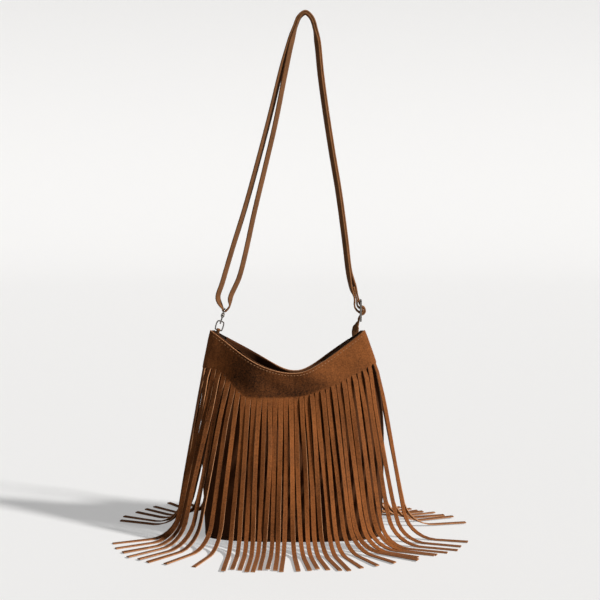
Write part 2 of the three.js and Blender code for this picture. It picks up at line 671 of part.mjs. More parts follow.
// Shoulder strap: one strip, sewn in the right corner, up through the slider, over the top to the
// eye on the left, back over the top, and sewn round the slider's middle bar
const halfStrap = strapThickness / 2;
const passU = -(barHalf + fitGap + halfStrap);
const stackStep = strapThickness + fitGap;
const loopRadius = barHalf * 1.42 + fitGap + halfStrap;
const passRadius = loopRadius + stackStep;
const nearSlider = (u, y, v, ...look) => [sliderPlace[0] + u, y, sliderPlace[2] + v, ...look];
const inside = [-1, 0, 0];
const outside = [1, 0, 0];
const rightLook = (hand) => [0.82 * hand, 0.57 * hand, 0];
const leftLook = (hand) => [-0.82 * hand, 0.57 * hand, 0];

// Lines of the strap over the mouth: x in half mouth widths, z in parts of the strap's rise
const overMouth = ([x, z, ...look]) => [
  mouthCentreX + x * mouthHalfWidth, cornerHeight + z * strapRise, ...look];
const above = (x, y, z, ...look) => {
  const [placeX, placeZ] = overMouth([x, z]);
  return [placeX, y, placeZ, ...look];
};

// Middle line of the doubled right band from the slider up
const band = [[0.8643, 0.1268], [0.8133, 0.1878], [0.7622, 0.2854], [0.6755, 0.4366],
  [0.5837, 0.5659], [0.502, 0.6902], [0.4357, 0.8049],
  [0.3949, 0.9]].map(overMouth);
const bandHalfStep = stackStep / 2 + 0.1;
const bandStation = ([x, z], hand) => {
  const look = rightLook(hand);
  return [x + look[0] * bandHalfStep, look[1] * bandHalfStep, z, ...look];
};
const arch = [[0.3633, 0.9439, 0.92, 0.3], [0.3143, 0.978, 0.7, 0.72], [0.2367, 0.9939, 0.1, 1],
  [0.1592, 0.9817, -0.7, 0.72],
  [0.1061, 0.9537, -0.92, 0.35]].map(overMouth);
const archStation = ([x, z, lookX, lookZ], hand) => [
  x + hand * lookX * bandHalfStep, 0, z + hand * lookZ * bandHalfStep,
  hand * lookX, 0.2 * hand, hand * lookZ];
const leftOuter = [[0.0378, 0.9122], [-0.0694, 0.8268], [-0.2122, 0.6902], [-0.3806, 0.539],
  [-0.5592, 0.3878], [-0.7327, 0.2561], [-0.8602, 0.1537],
  [-0.9224, 0.1024]].map(overMouth);
const leftInner = [[-0.7561, 0.1049], [-0.6408, 0.1683], [-0.5541, 0.2463], [-0.4418, 0.3683],
  [-0.2837, 0.5244], [-0.1561, 0.6537],
  [-0.0235, 0.8122], [0.0571, 0.9024]].map(overMouth);
const tilt = new THREE.Vector3(0, 0, eyeBarZ)
  .applyAxisAngle(new THREE.Vector3(0, 1, 0), hardwareTilt * degree);
const eyePlace = [ringBar[0] + tilt.x, ringBar[2] + tilt.z];
const eyeLoop = wireRadius + fitGap + halfStrap;
const round = (centre, radius, angle, look) => [
  centre[0] + radius * Math.cos(angle * degree), 0, centre[1] + radius * Math.sin(angle * degree),
  look * Math.cos(angle * degree), 0, look * Math.sin(angle * degree)];

const strapStations = [
  nearSlider(-2.5, 0.1, -53, 0, 1, 0), nearSlider(-4.3, 0.1, -42, 0, 1, 0),
  nearSlider(-7, 0.1, -31, 0.02, 1, 0), nearSlider(-6.4, 0, -23.5, 0.5, 0.87, 0),
  nearSlider(-4.8, 0, -19, 0.95, 0.3, 0),
  nearSlider(passU - 0.2, 0, -barPitch - 1.5, ...outside), nearSlider(passU, 0, -barPitch + 1.2,
    ...outside),
  nearSlider(0.6, 0, -passRadius - 0.2, 0.75, 0, -0.66),
  ...[-45, 0, 45].map((a) => round([sliderPlace[0], sliderPlace[2]], passRadius, a, 1)),
  nearSlider(0.6, 0, passRadius + 0.2, 0.75, 0, 0.66),
  nearSlider(passU, 0, barPitch - 1.2, ...outside), nearSlider(passU - 0.2, 0, barPitch + 1.5, ...outside),
  above(0.9265, 0, 0.1122, ...outside), above(0.8816, 1, 0.1463, 0.9, 0.4, 0),
  ...band.slice(1).map((p) => bandStation(p, 1)),
  ...arch.map((p) => archStation(p, 1)),
  ...leftOuter.map(([x, z]) => [x, 0, z, ...leftLook(1)]),
  round(eyePlace, eyeLoop, 165, 1), round(eyePlace, eyeLoop, 205, 1),
  round(eyePlace, eyeLoop, 245, 1), round(eyePlace, eyeLoop, 285, 1), round(eyePlace,
    eyeLoop + 0.3, 325, 1),
  [eyePlace[0] + 6.6, 0, eyePlace[1] + 4.2, 0.85, 0, -0.5],
  ...leftInner.map(([x, z]) => [x, 0, z, ...leftLook(-1)]),
  ...[...arch].reverse().map((p) => archStation(p, -1)),
  ...band.slice(1).reverse().map((p) => bandStation(p, -1)),
  above(0.8408, -0.6, 0.1341, -0.95, -0.3, 0), nearSlider(passU - 2 * stackStep - 0.6, 0,
    barPitch + 3, ...inside),
  nearSlider(passU - 2 * stackStep - 0.4, 0, 5.5, ...inside), nearSlider(-6, 0, 1.2, -0.9, 0, -0.4),
  ...[225, 270, 315, 360, 405, 450].map((a) => round([sliderPlace[0], sliderPlace[2]], loopRadius, a, 1)),
  nearSlider(-2.8, 0, 4.2, 0.6, 0, 0.8), nearSlider(-4.7, 0, 7.2, 0.9, 0, 0.4),
  nearSlider(passU - stackStep, 0, barPitch + 1, ...outside), above(0.902, 0, 0.111, 1, 0, 0.1),
  above(0.8643, 0.1, 0.139, 0.95, 0.3, 0.1),
];
addMesh('shoulder_strap', ribbon(strapStations, strapWidth, strapThickness, 2), strapSuede);

// Magnetic snap at the pinch of the mouth: a socket on the front facing and a stud on the back
const snapDrop = 14;
const snapHeight = rimLowHeight - snapDrop;

function snapDisc(low, high, dish) {
  const profile = [[0, low], [snapRadius - 0.4, low], [snapRadius, low + 0.4], [snapRadius, high - 0.4],
    [snapRadius - 0.4, high], [dish ? 3 : 2.6, high], [dish ? 2.6 : 2.2, high + (dish ? -0.7 : 0.5)],
    [0, high + (dish ? -0.7 : 0.5)]];
  return new THREE.LatheGeometry(profile.map(([r, z]) => new THREE.Vector2(r, z)), 18);
}
const snapParting = 0.25;
const snapShare = Math.acos((mouthCentreX - pinchX) / mouthHalfWidth) / Math.PI;
const snapMiddle = (height) => {
  const [front, back] = [-1, 1].map((side) => wall(side, snapShare, levelAt(snapShare, height, side), 0));
  return (front[1] + back[1]) / 2;
};
const snapTilt = Math.atan2(snapMiddle(snapHeight + snapRadius) - snapMiddle(snapHeight - snapRadius),
  2 * snapRadius);
const snap = new THREE.Group();
snap.position.set(pinchX, snapMiddle(snapHeight), snapHeight);
snap.rotation.x = -snapTilt;
bag.add(snap);
const socket = addMesh('snap_socket', snapDisc(0, snapThickness, true), nickel);
socket.position.y = -snapThickness - snapParting / 2;
const stud = addMesh('snap_stud', snapDisc(0, snapThickness, false).rotateX(Math.PI), nickel);
stud.position.y = snapThickness + snapParting / 2;
snap.add(socket, stud);

export default bag;
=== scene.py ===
# %% [markdown]
# # A fringed suede shoulder bag
# The bag stands on a flat oval base. Its yoke is one suede sheet, cut below the rim into long strips
# that hang round the body and lie out on the floor. A single suede strip runs double from the swivel
# hook on the left, over the top, to the slider on the right. The frame gives every piece its place.

# %% Load the frame
import bmesh
import bpy
from math import atan, atan2, copysign, cos, exp, floor, hypot, pi, radians, sin, tan
from mathutils import Matrix, Vector


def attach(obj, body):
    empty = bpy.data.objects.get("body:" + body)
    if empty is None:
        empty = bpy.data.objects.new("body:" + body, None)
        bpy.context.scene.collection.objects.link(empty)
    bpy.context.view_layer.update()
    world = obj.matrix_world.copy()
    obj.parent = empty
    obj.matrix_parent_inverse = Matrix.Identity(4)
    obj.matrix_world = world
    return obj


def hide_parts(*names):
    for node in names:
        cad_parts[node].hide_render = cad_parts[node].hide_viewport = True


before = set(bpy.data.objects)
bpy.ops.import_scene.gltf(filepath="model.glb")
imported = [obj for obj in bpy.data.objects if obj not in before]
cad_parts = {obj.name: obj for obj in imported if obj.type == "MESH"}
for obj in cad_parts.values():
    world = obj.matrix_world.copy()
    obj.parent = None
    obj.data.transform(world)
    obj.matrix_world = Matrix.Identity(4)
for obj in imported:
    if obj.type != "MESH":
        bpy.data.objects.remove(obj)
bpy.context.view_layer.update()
scene = bpy.context.scene
MM = 0.001

# %% [markdown]
# ## Camera and studio
# The photograph looks at the bag from a little above the middle of its height. A long lens keeps the
# strap's two runs nearly parallel. The key lamp is a sun, described by the way its light travels, so
# that it is as strong on the strap as on the floor. The fill is a wide disk in front, and very weak.

# %% Camera
CAMERA_PLACE = Vector((8, -2050, 620)) * MM
CAMERA_TARGET = Vector((8, 0, 312.6)) * MM
LENS, SENSOR = 95.7, 36
camera_data = bpy.data.cameras.new("camera")
camera_data.lens = LENS
camera_data.sensor_width = SENSOR
camera = bpy.data.objects.new("camera", camera_data)
scene.collection.objects.link(camera)
camera.location = CAMERA_PLACE
camera.rotation_euler = (CAMERA_TARGET - CAMERA_PLACE).to_track_quat("-Z", "Y").to_euler()
scene.camera = camera
scene.view_settings.view_transform = "Standard"


# %% Node tools
def add_node(tree, kind, settings=(), **inputs):
    """A new node. An input is named, or i0, i1 by its place, and holds a value or another's output."""
    node = tree.nodes.new(kind)
    for key, value in dict(settings).items():
        setattr(node, key, value)
    for key, value in inputs.items():
        socket = node.inputs[int(key[1:])] if key[0] == "i" and key[1:].isdigit() else node.inputs[key]
        if isinstance(value, bpy.types.NodeSocket):
            tree.links.new(value, socket)
        else:
            socket.default_value = value
    return node


def calc(tree, operation, *values):
    places = {f"i{k}": value for k, value in enumerate(values)}
    return add_node(tree, "ShaderNodeMath", {"operation": operation}, **places).outputs[0]


def map_range(tree, value, low, high, start=0.0, end=1.0):
    """The value, with start to end stretched to low to high."""
    limits = {"From Min": start, "From Max": end, "To Min": low, "To Max": high}
    return add_node(tree, "ShaderNodeMapRange", Value=value, **limits).outputs["Result"]


def for_camera(tree, others, camera):
    """One value for the camera's own rays and another for all the other rays."""
    return map_range(tree, add_node(tree, "ShaderNodeLightPath").outputs["Is Camera Ray"], others, camera)


# %% Lamps and sky
def lamp(name, kind, toward, place=(0, 0, 0), **settings):
    data = bpy.data.lights.new(name, kind)
    for key, value in settings.items():
        setattr(data, key, value)
    made = bpy.data.objects.new(name, data)
    scene.collection.objects.link(made)
    made.location = place
    made.rotation_euler = Vector(toward).to_track_quat("-Z", "Y").to_euler()
    return made


KEY_WAY = (-2.75, 1.28, -2.0)
FILL_PLACE, FILL_TARGET = Vector((-1.0, -3.0, 1.6)), Vector((0, 0, 0.2))
SKY_LIGHT, SKY_SEEN = 0.12, 0.9
lamp("key", "SUN", KEY_WAY, energy=4.1, angle=radians(6), color=(1, 0.985, 0.965))
lamp("fill", "AREA", FILL_TARGET - FILL_PLACE, FILL_PLACE, shape="DISK", size=1.8, energy=2)
world = bpy.data.worlds.new("studio")
scene.world = world
world.use_nodes = True
background = world.node_tree.nodes["Background"]
background.inputs["Color"].default_value = (0.96, 0.94, 0.91, 1)
sky_strength = for_camera(world.node_tree, SKY_LIGHT, SKY_SEEN)
world.node_tree.links.new(sky_strength, background.inputs["Strength"])

# %% [markdown]
# ## Floor
# The floor runs back and then curves up into a wall, so that no horizon shows. One edge is extruded
# along the curve. Only the camera's own rays see a paler paper with a little light of its own, and a
# paler sky, which keeps the background pale and leaves the light on the bag as it is. The standing
# part of the paper glows a trace more than the lying part, since the key lamp reaches it less.

# %% Floor and backdrop
FLOOR_HALF, FLOOR_FRONT, FLOOR_BACK = 4.5, -4.0, 2.4
WALL_BEND, WALL_TOP, BEND_STEPS = 1.2, 4.5, 12
PAPER_LIGHT, PAPER_SEEN = 0.45, 0.57
GLOW_STANDING, GLOW_LYING = 0.355, 0.35


def studio_floor():
    bm = bmesh.new()
    ends = [bm.verts.new((x, FLOOR_FRONT, 0)) for x in (-FLOOR_HALF, FLOOR_HALF)]
    edge = bm.edges.new(ends)
    profile = [(FLOOR_BACK, 0)]
    for i in range(1, BEND_STEPS + 1):
        turn = pi / 2 * i / BEND_STEPS
        profile.append((FLOOR_BACK + WALL_BEND * sin(turn), WALL_BEND * (1 - cos(turn))))
    profile.append((FLOOR_BACK + WALL_BEND, WALL_TOP))
    for y, z in profile:
        new = bmesh.ops.extrude_edge_only(bm, edges=[edge])["geom"]
        edge = next(e for e in new if isinstance(e, bmesh.types.BMEdge))
        for vert in edge.verts:
            vert.co.y, vert.co.z = y, z
    bmesh.ops.recalc_face_normals(bm, faces=bm.faces[:])
    mesh = bpy.data.meshes.new("studio_floor")
    bm.to_mesh(mesh)
    bm.free()
    mesh.shade_smooth()
    made = bpy.data.objects.new("studio_floor", mesh)
    scene.collection.objects.link(made)
    return made


def material(name, **values):
    """A new material, its node tree and its Principled shader, with some of its inputs set."""
    made = bpy.data.materials.new(name)
    made.use_nodes = True
    skin = made.node_tree.nodes["Principled BSDF"]
    for key, value in values.items():
        skin.inputs[key].default_value = value
    return made, made.node_tree, skin


floor_material, paper_tree, paper = material(
    "pale paper", **{"Roughness": 0.9, "Specular IOR Level": 0.0, "Emission Color": (1, 1, 1, 1)})
facing = add_node(paper_tree, "ShaderNodeSeparateXYZ",
                  i0=add_node(paper_tree, "ShaderNodeNewGeometry").outputs["Normal"])
glow = map_range(paper_tree, facing.outputs["Z"], GLOW_STANDING, GLOW_LYING)
own_light = calc(paper_tree, "MULTIPLY", for_camera(paper_tree, 0, 1), glow)
paper_tree.links.new(for_camera(paper_tree, PAPER_LIGHT, PAPER_SEEN), paper.inputs["Base Color"])
paper_tree.links.new(own_light, paper.inputs["Emission Strength"])
backdrop = studio_floor()
backdrop.data.materials.append(floor_material)
print("floor faces:", len(backdrop.data.polygons))

# %% [markdown]
# ## Form of the wall
# Every suede layer of the bag follows one surface. A place on it is named by how far round it lies
# (share, from the left seam to the right seam) and how high (level, from base to rim). The sizes are
# the real ones in millimetres, as in the frame's source, so that each layer lands on its solid.

# %% Sizes of the body
BASE_HALF = (117, 42)
BELLY = (3.5, 7)
MOUTH_HALF = 98
BASE_X, MOUTH_X = -1, -8.2
RIM_LOW, RIM_RISE, RIM_ROUND, RIM_SKEW = 221.5, 51.5, 15, 2.5
PINCH_X, PINCH_DEPTH, CORNER_DEPTH = 3, 7.5, 14
LEFT_LOBE, RIGHT_LOBE = (13, -8), (7, 5)
PINCH_SHIFT, PINCH_WIDTH = -20, 40
LEAN_START = 0.76
SEAM_GAP = 0.3
FOOT = 2.5
YOKE_LOW, YOKE_LEFT_RISE, YOKE_RIGHT_RISE = 187, 37, 44
YOKE_TURN = (0.49, 0.9)
MOUTH_START, MOUTH_DONE = 0.4, 0.9
FOOT_SQUARE, SQUARE_END = 0.72, 0.6
YOKE_LEVEL = 0.82


def clamp01(v):
    return min(1.0, max(0.0, v))


def smooth(v):
    v = clamp01(v)
    return v * v * (3 - 2 * v)


def mix(a, b, k):
    return a + (b - a) * k


def ramp(v, start, end):
    return smooth((v - start) / (end - start))


def scatter(i, k):
    """A fixed draw from 0 to 1: the k-th one of item i."""
    v = sin(i * 12.9898 + k * 78.233) * 43758.5453
    return v - floor(v)


def mouth_x(share):
    return MOUTH_X - MOUTH_HALF * cos(pi * share)


def lobes(x):
    left = clamp01((PINCH_X - x) / (PINCH_X - MOUTH_X + MOUTH_HALF))
    right = clamp01((x - PINCH_X) / (MOUTH_X + MOUTH_HALF - PINCH_X))
    return sin(pi * left) ** 2, sin(pi * right) ** 2


def rim_height(x, side):
    reach = MOUTH_HALF - MOUTH_X if x < 0 else MOUTH_HALF + MOUTH_X
    part = (hypot(x, RIM_ROUND) - RIM_ROUND) / (hypot(reach, RIM_ROUND) - RIM_ROUND)
    return RIM_LOW + RIM_RISE * min(1, part) ** 1.2 + side * RIM_SKEW * lobes(x)[0]


def yoke_line(x):
    if x > 0:
        return YOKE_LOW + YOKE_RIGHT_RISE * (x / (MOUTH_HALF + MOUTH_X)) ** 1.3
    way = -x / (MOUTH_HALF - MOUTH_X)
    return YOKE_LOW + YOKE_LEFT_RISE * ramp(way, *YOKE_TURN)


def half_width(level):
    belly = BASE_HALF[0] + BELLY[0] * sin(pi * level)
    return mix(belly, MOUTH_HALF, max(0, (level - MOUTH_START) / (1 - MOUTH_START)) ** 3)


def half_depth(x, level):
    belly = BASE_HALF[1] + BELLY[1] * sin(pi * min(1, level * 1.1))
    away = clamp01(abs(x - PINCH_X) / (MOUTH_HALF + PINCH_X))
    left, right = lobes(x)
    mouth = mix(PINCH_DEPTH, CORNER_DEPTH, away ** 2) + LEFT_LOBE[0] * left + RIGHT_LOBE[0] * right
    return mix(belly, mouth, ramp(level, MOUTH_START, MOUTH_DONE))


def wall(side, share, level, inset):
    """A place on the wall, or inside it by the inset. Side is -1 for the front and 1 for the back."""
    x = mouth_x(share)
    square = mix(FOOT_SQUARE, 1, smooth(level / SQUARE_END))
    cosine = cos(pi * share)
    along = -copysign(abs(cosine) ** square, cosine)
    across = abs(sin(pi * share)) ** square
    left, right = lobes(x)
    push = PINCH_SHIFT * exp(-((x - PINCH_X) / PINCH_WIDTH) ** 2)
    shift = push + LEFT_LOBE[1] * left + RIGHT_LOBE[1] * right
    shift *= clamp01((level - LEAN_START) / (1 - LEAN_START))
    return Vector((
        mix(BASE_X, MOUTH_X, level ** 3) + (half_width(level) - inset) * along,
        shift + side * ((half_depth(x, level) - inset) * across + SEAM_GAP / 2),
        FOOT + level * (rim_height(x, side) - FOOT),
    ))


def level_at(share, height, side):
    return (height - FOOT) / (rim_height(mouth_x(share), side) - FOOT)


# %% Even steps round the wall
GIRTH_STEPS = 400
girth = [0.0]
for i in range(1, GIRTH_STEPS + 1):
    step = wall(-1, i / GIRTH_STEPS, YOKE_LEVEL, 0) - wall(-1, (i - 1) / GIRTH_STEPS, YOKE_LEVEL, 0)
    girth.append(girth[-1] + step.xy.length)


def even_share(part):
    """The share at a part of the way round the wall, in even steps of its length at the yoke."""
    target = clamp01(part) * girth[-1]
    i = max(1, next(k for k, v in enumerate(girth) if v >= target - 1e-9))
    return (i - 1 + (target - girth[i - 1]) / (girth[i] - girth[i - 1])) / GIRTH_STEPS


print("half girth in millimetres:", round(girth[-1], 1))

# %% [markdown]
# ## Finishes
# Suede is the brushed flesh side of leather. Its nap scatters light softly, so it has no gloss, a
# velvety edge, and cloudy patches where fingers have brushed it the other way. One node group makes
# the patches and the fine fibres for every suede piece; each material keeps its own shader. The body's
# suede is painted darker than the fringe's: painted shade, for the deep shade between the strips.


# %% Suede group
def new_group(name, inputs, outputs):
    group = bpy.data.node_groups.new(name, "ShaderNodeTree")
    for socket, kind, value in inputs:
        made = group.interface.new_socket(socket, in_out="INPUT", socket_type=kind)
        made.default_value = value
    for socket, kind in outputs:
        group.interface.new_socket(socket, in_out="OUTPUT", socket_type=kind)
    return group, group.nodes.new("NodeGroupInput"), group.nodes.new("NodeGroupOutput")


NOISE_LOW, NOISE_HIGH = 0.3, 0.7
BLOTCH, GRAIN = 0.28, 0.5
ROUGH_LOW, ROUGH_HIGH = 0.82, 0.98


def suede_group():
    group, given, result = new_group("brushed suede", [
        ("Colour", "NodeSocketColor", (0.3, 0.1, 0.03, 1)), ("Dark", "NodeSocketFloat", 0.6),
        ("Patch size", "NodeSocketFloat", 22.0), ("Fibre size", "NodeSocketFloat", 620.0),
        ("Tone", "NodeSocketFloat", 0.0),
    ], [("Colour", "NodeSocketColor"), ("Height", "NodeSocketFloat"), ("Roughness", "NodeSocketFloat")])
    place = add_node(group, "ShaderNodeTexCoord").outputs["Object"]
    patches = add_node(group, "ShaderNodeTexNoise", Vector=place, Scale=given.outputs["Patch size"],
                       Detail=4.0, Roughness=0.6)
    fibres = add_node(group, "ShaderNodeTexNoise", Vector=place, Scale=given.outputs["Fibre size"],
                      Detail=3.0, Roughness=0.7)
    blotch = map_range(group, patches.outputs["Fac"], -BLOTCH, BLOTCH, NOISE_LOW, NOISE_HIGH)
    grain = map_range(group, fibres.outputs["Fac"], -GRAIN, GRAIN, NOISE_LOW, NOISE_HIGH)
    rough = map_range(group, patches.outputs["Fac"], ROUGH_LOW, ROUGH_HIGH, NOISE_LOW, NOISE_HIGH)
    toned = calc(group, "ADD", calc(group, "ADD", blotch, grain), given.outputs["Tone"])
    scaled = calc(group, "MULTIPLY_ADD", toned, given.outputs["Dark"], 1.0)
    tint = add_node(group, "ShaderNodeVectorMath", {"operation": "SCALE"}, i0=given.outputs["Colour"],
                    Scale=scaled)
    group.links.new(tint.outputs[0], result.inputs["Colour"])
    group.links.new(fibres.outputs["Fac"], result.inputs["Height"])
    group.links.new(rough, result.inputs["Roughness"])
    return group


SUEDE_GROUP = suede_group()
print("node group:", SUEDE_GROUP.name)


# %% Suede, raw edge, thread, lining and metal
NAP_BUMP, NAP_HEIGHT = 0.5, 0.0006
SMUDGE = (0.7, 1.4)


def suede_material(name, colour, dark=0.6, patch=22.0, fibre=620.0, sheen=0.25, toned=False):
    """A suede. With toned, the mesh's own tone layer makes it darker or lighter from place to place; on
    the fringe it also holds painted shade.
    """
    made, tree, skin = material(name, **{
        "Specular IOR Level": 0.15, "Sheen Weight": sheen, "Sheen Roughness": 0.45,
        "Sheen Tint": (1, 0.72, 0.48, 1)})
    nap = add_node(tree, "ShaderNodeGroup", {"node_tree": SUEDE_GROUP}, Colour=(*colour, 1), Dark=dark,
                   **{"Patch size": patch, "Fibre size": fibre})
    if toned:
        tone = add_node(tree, "ShaderNodeAttribute", {"attribute_name": "tone"})
        tree.links.new(tone.outputs["Fac"], nap.inputs["Tone"])
    lift = add_node(tree, "ShaderNodeBump", Strength=NAP_BUMP, Distance=NAP_HEIGHT,
                    Height=nap.outputs["Height"])
    tree.links.new(nap.outputs["Colour"], skin.inputs["Base Color"])
    tree.links.new(nap.outputs["Roughness"], skin.inputs["Roughness"])
    tree.links.new(lift.outputs["Normal"], skin.inputs["Normal"])
    return made


fringe_suede = suede_material("fringe suede", (0.212, 0.069, 0.018), dark=0.8, fibre=500.0, sheen=0.14,
                              toned=True)
raw_edge = suede_material("raw suede edge", (0.47, 0.22, 0.1), dark=0.5, patch=60)
# Painted shade: the body's suede is darker than the fringe's, for the deep shade between the strips.
body_suede = suede_material("body suede", (0.08, 0.0265, 0.0078), sheen=0.12, patch=16)
strap_suede = suede_material("strap suede", (0.165, 0.071, 0.028), sheen=0.12, patch=30, toned=True)

thread = material("tan thread", **{"Base Color": (0.4, 0.2, 0.09, 1), "Roughness": 0.6})[0]

lining_cloth, lining_tree, lining_skin = material(
    "lining twill", **{"Roughness": 0.9, "Specular IOR Level": 0.1})
weave_place = add_node(lining_tree, "ShaderNodeTexCoord").outputs["Object"]
weave = add_node(lining_tree, "ShaderNodeTexWave", {"wave_type": "BANDS", "bands_direction": "DIAGONAL"},
                 Vector=weave_place, Scale=700.0, Distortion=0.6)
weave_tint = add_node(lining_tree, "ShaderNodeValToRGB", Fac=weave.outputs["Fac"])
weave_tint.color_ramp.elements[0].color = (0.012, 0.006, 0.004, 1)
weave_tint.color_ramp.elements[1].color = (0.03, 0.016, 0.009, 1)
lining_tree.links.new(weave_tint.outputs["Color"], lining_skin.inputs["Base Color"])


def metal_material(name, colour, rough):
    made, tree, skin = material(name, **{"Base Color": (*colour, 1), "Metallic": 1})
    place = add_node(tree, "ShaderNodeTexCoord").outputs["Object"]
    smudge = add_node(tree, "ShaderNodeTexNoise", Vector=place, Scale=400.0, Detail=2.0)
    shine = map_range(tree, smudge.outputs["Fac"], rough * SMUDGE[0], rough * SMUDGE[1])
    tree.links.new(shine, skin.inputs["Roughness"])
    return made


nickel = metal_material("dark nickel", (0.42, 0.39, 0.36), 0.2)
spring_steel = metal_material("drawn steel", (0.42, 0.42, 0.42), 0.35)
print("materials:", [m.name for m in bpy.data.materials])


# %% [markdown]
# ## Body panels
# The front and back panels are soft suede, sewn at the sides and to the oval base. A grid is bent
# onto the wall's form, a few slow waves make it sag, and solidify gives it the suede's thickness.

# %% Sheets on the wall
BODY_GRID, LINING_GRID, FACING_GRID = (96, 60), (80, 40), (80, 8)
BODY_INSET, BODY_THICK, SAG_SHARE = 0.2, 1.3, 0.6
SAG_SLOW, SAG_FOLD = 0.9, 0.35


def finish_piece(bm, name, materials, body="bag", smooth_faces=True):
    mesh = bpy.data.meshes.new(name)
    bm.to_mesh(mesh)
    bm.free()
    if smooth_faces:
        mesh.shade_smooth()
    piece = bpy.data.objects.new(name, mesh)
    scene.collection.objects.link(piece)
    for each in materials:
        mesh.materials.append(each)
    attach(piece, body)
    return piece


def wall_sheet(side, grid, place):
    """A grid of the given columns and rows, bent to where place puts each part across and up."""
    bm = bmesh.new()
    bmesh.ops.create_grid(bm, x_segments=grid[0], y_segments=grid[1], size=0.5)
    for vert in bm.verts:
        vert.co = place(vert.co.x + 0.5, vert.co.y + 0.5) * MM
    if side > 0:
        bmesh.ops.reverse_faces(bm, faces=bm.faces[:])
    return bm


def sag(side, part, level):
    slow = sin(part * 13 + side) * sin(level * 7 + 1.3 * side)
    fold = sin(part * 31 + level * 9 + 2 * side)
    return (SAG_SLOW * slow + SAG_FOLD * fold) * sin(pi * clamp01(level))


def run_length(points):
    return sum((b - a).length for a, b in zip(points, points[1:]))


def cut_size(place, level=True, steps=24):
    """Width and height of a sheet, in millimetres: its longest way across and its longest way up.

    A narrow band that follows the rim is measured along the rim, the other sheets level.
    """
    ticks = [i / steps for i in range(steps + 1)]
    rows = [[place(u, v) for u in ticks] for v in ticks]
    width = max(run_length([point.xy for point in row] if level else row) for row in rows)
    return width, max(map(run_length, zip(*rows)))


def body_place(side):
    return lambda u, v: wall(side, even_share(u), v, BODY_INSET + abs(sag(side, u, v)) * SAG_SHARE)


def body_panel(side, name):
    bm = wall_sheet(side, BODY_GRID, body_place(side))
    bmesh.ops.solidify(bm, geom=bm.faces[:], thickness=BODY_THICK * MM)
    return finish_piece(bm, name, [body_suede])


body_front = body_panel(-1, "front_body_suede")
body_back = body_panel(1, "back_body_suede")
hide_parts("front_body_panel")
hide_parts("back_body_panel")
for piece, side in ((body_front, -1), (body_back, 1)):
    cut_size(body_place(side))

# %% [markdown]
# ## Base
# The base is a suede covered board. Its outline is the foot of the wall, so the same function gives
# its edge, and one extrusion gives its height.


# %% Base
BASE_THICK, BASE_STEPS = 2.2, 64


def foot_outline(inset, height, steps):
    """One level face with the outline of the wall's foot."""
    bm = bmesh.new()
    ring = []
    for side, order in ((-1, range(steps + 1)), (1, range(steps, -1, -1))):
        for i in order:
            point = wall(side, even_share(i / steps), 0, inset)
            ring.append(bm.verts.new((point.x * MM, point.y * MM, height * MM)))
    bm.faces.new(ring)
    return bm


def base_board():
    bm = foot_outline(0, 0, BASE_STEPS)
    top = bmesh.ops.extrude_face_region(bm, geom=bm.faces[:])["geom"]
    moved = [g for g in top if isinstance(g, bmesh.types.BMVert)]
    bmesh.ops.translate(bm, verts=moved, vec=(0, 0, BASE_THICK * MM))
    bmesh.ops.recalc_face_normals(bm, faces=bm.faces[:])
    return finish_piece(bm, "base_suede", [body_suede], smooth_faces=False)


base = base_board()
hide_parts("base_panel")
print("base faces:", len(base.data.polygons))

# %% [markdown]
# ## Fringe panels
# Yoke and strips are one cut sheet. The yoke is a grid on the wall. Below the yoke line only the
# strips' own edges are extruded, row after row, and each new row is set on the strip's path: it hangs
# clear of the body, bends at the floor and lies outwards. Each strip drifts and turns a little in its
# own way, as cut suede does.

# %% Path of one strip
STRIPS = 34
STRIP_WIDTH = 6.6
SUEDE_THICK = 1.4
YOKE_GAP = 1.5
YOKE_OUT = YOKE_GAP + SUEDE_THICK / 2
STRIP_TAIL, TAIL_LOSS, LENGTH_SPREAD = 80, 5, 12
FLOOR_BENDS, BEND_LEAST, BEND_SPREAD = (34, 46), 0.85, 0.3
TURN_FROM, TURN_SPAN = 0.8, 1.3
HANG_ANGLES = (7, 9.5)
TAIL_TURN = {-1: [(0, 2), (0.5, 5), (0.56, 22), (0.62, 34), (0.75, 47), (0.9, 60), (1, 74)],
             1: [(0, 4), (0.15, 11), (0.35, 19), (0.45, 33), (0.55, 54), (0.65, 68), (1, 76)]}
SIDE_LEAN = {-1: [(0, 0), (0.3, 2.5), (0.5, 4), (0.6, 9), (0.7, 12), (0.85, 12), (1, 9.5)],
             1: [(0, 0.5), (0.3, 4), (0.5, 6.5), (0.65, 7), (0.8, 6.5), (1, 5)]}
FACE_PULL, FACE_WAY = 0.4, 50
HANG_LEVEL = 0.5
CLEARANCE, CLEARANCE_REACH = 3.4, 90
CLEAR_FROM, CLEAR_STEP = 0.2, 0.04
STRAY_MIDDLE, STRAY_SIDE = 1, 5
DRIFT, CURL, LIFT, LAYER = 4.0, 30, 2.2, 1.9
FREE_WAY, LAYER_WAY = 60, 14
PITCH = girth[-1] / STRIPS
ROWS, FIRST_ROW, ROW_EASE, PATH_STEP = 34, 1.2, 0.92, 1.5


def outward(side, share, level):
    a = wall(side, max(0, share - 0.004), level, 0)
    b = wall(side, min(1, share + 0.004), level, 0)
    return atan2((b.x - a.x) * side, (b.y - a.y) * -side)


def between(knots, v):
    """Value at v on the broken line through the knots."""
    i = next(k for k in range(1, len(knots)) if knots[k][0] >= v)
    (at0, value0), (at1, value1) = knots[i - 1:i + 1]
    return mix(value0, value1, clamp01((v - at0) / (at1 - at0)))


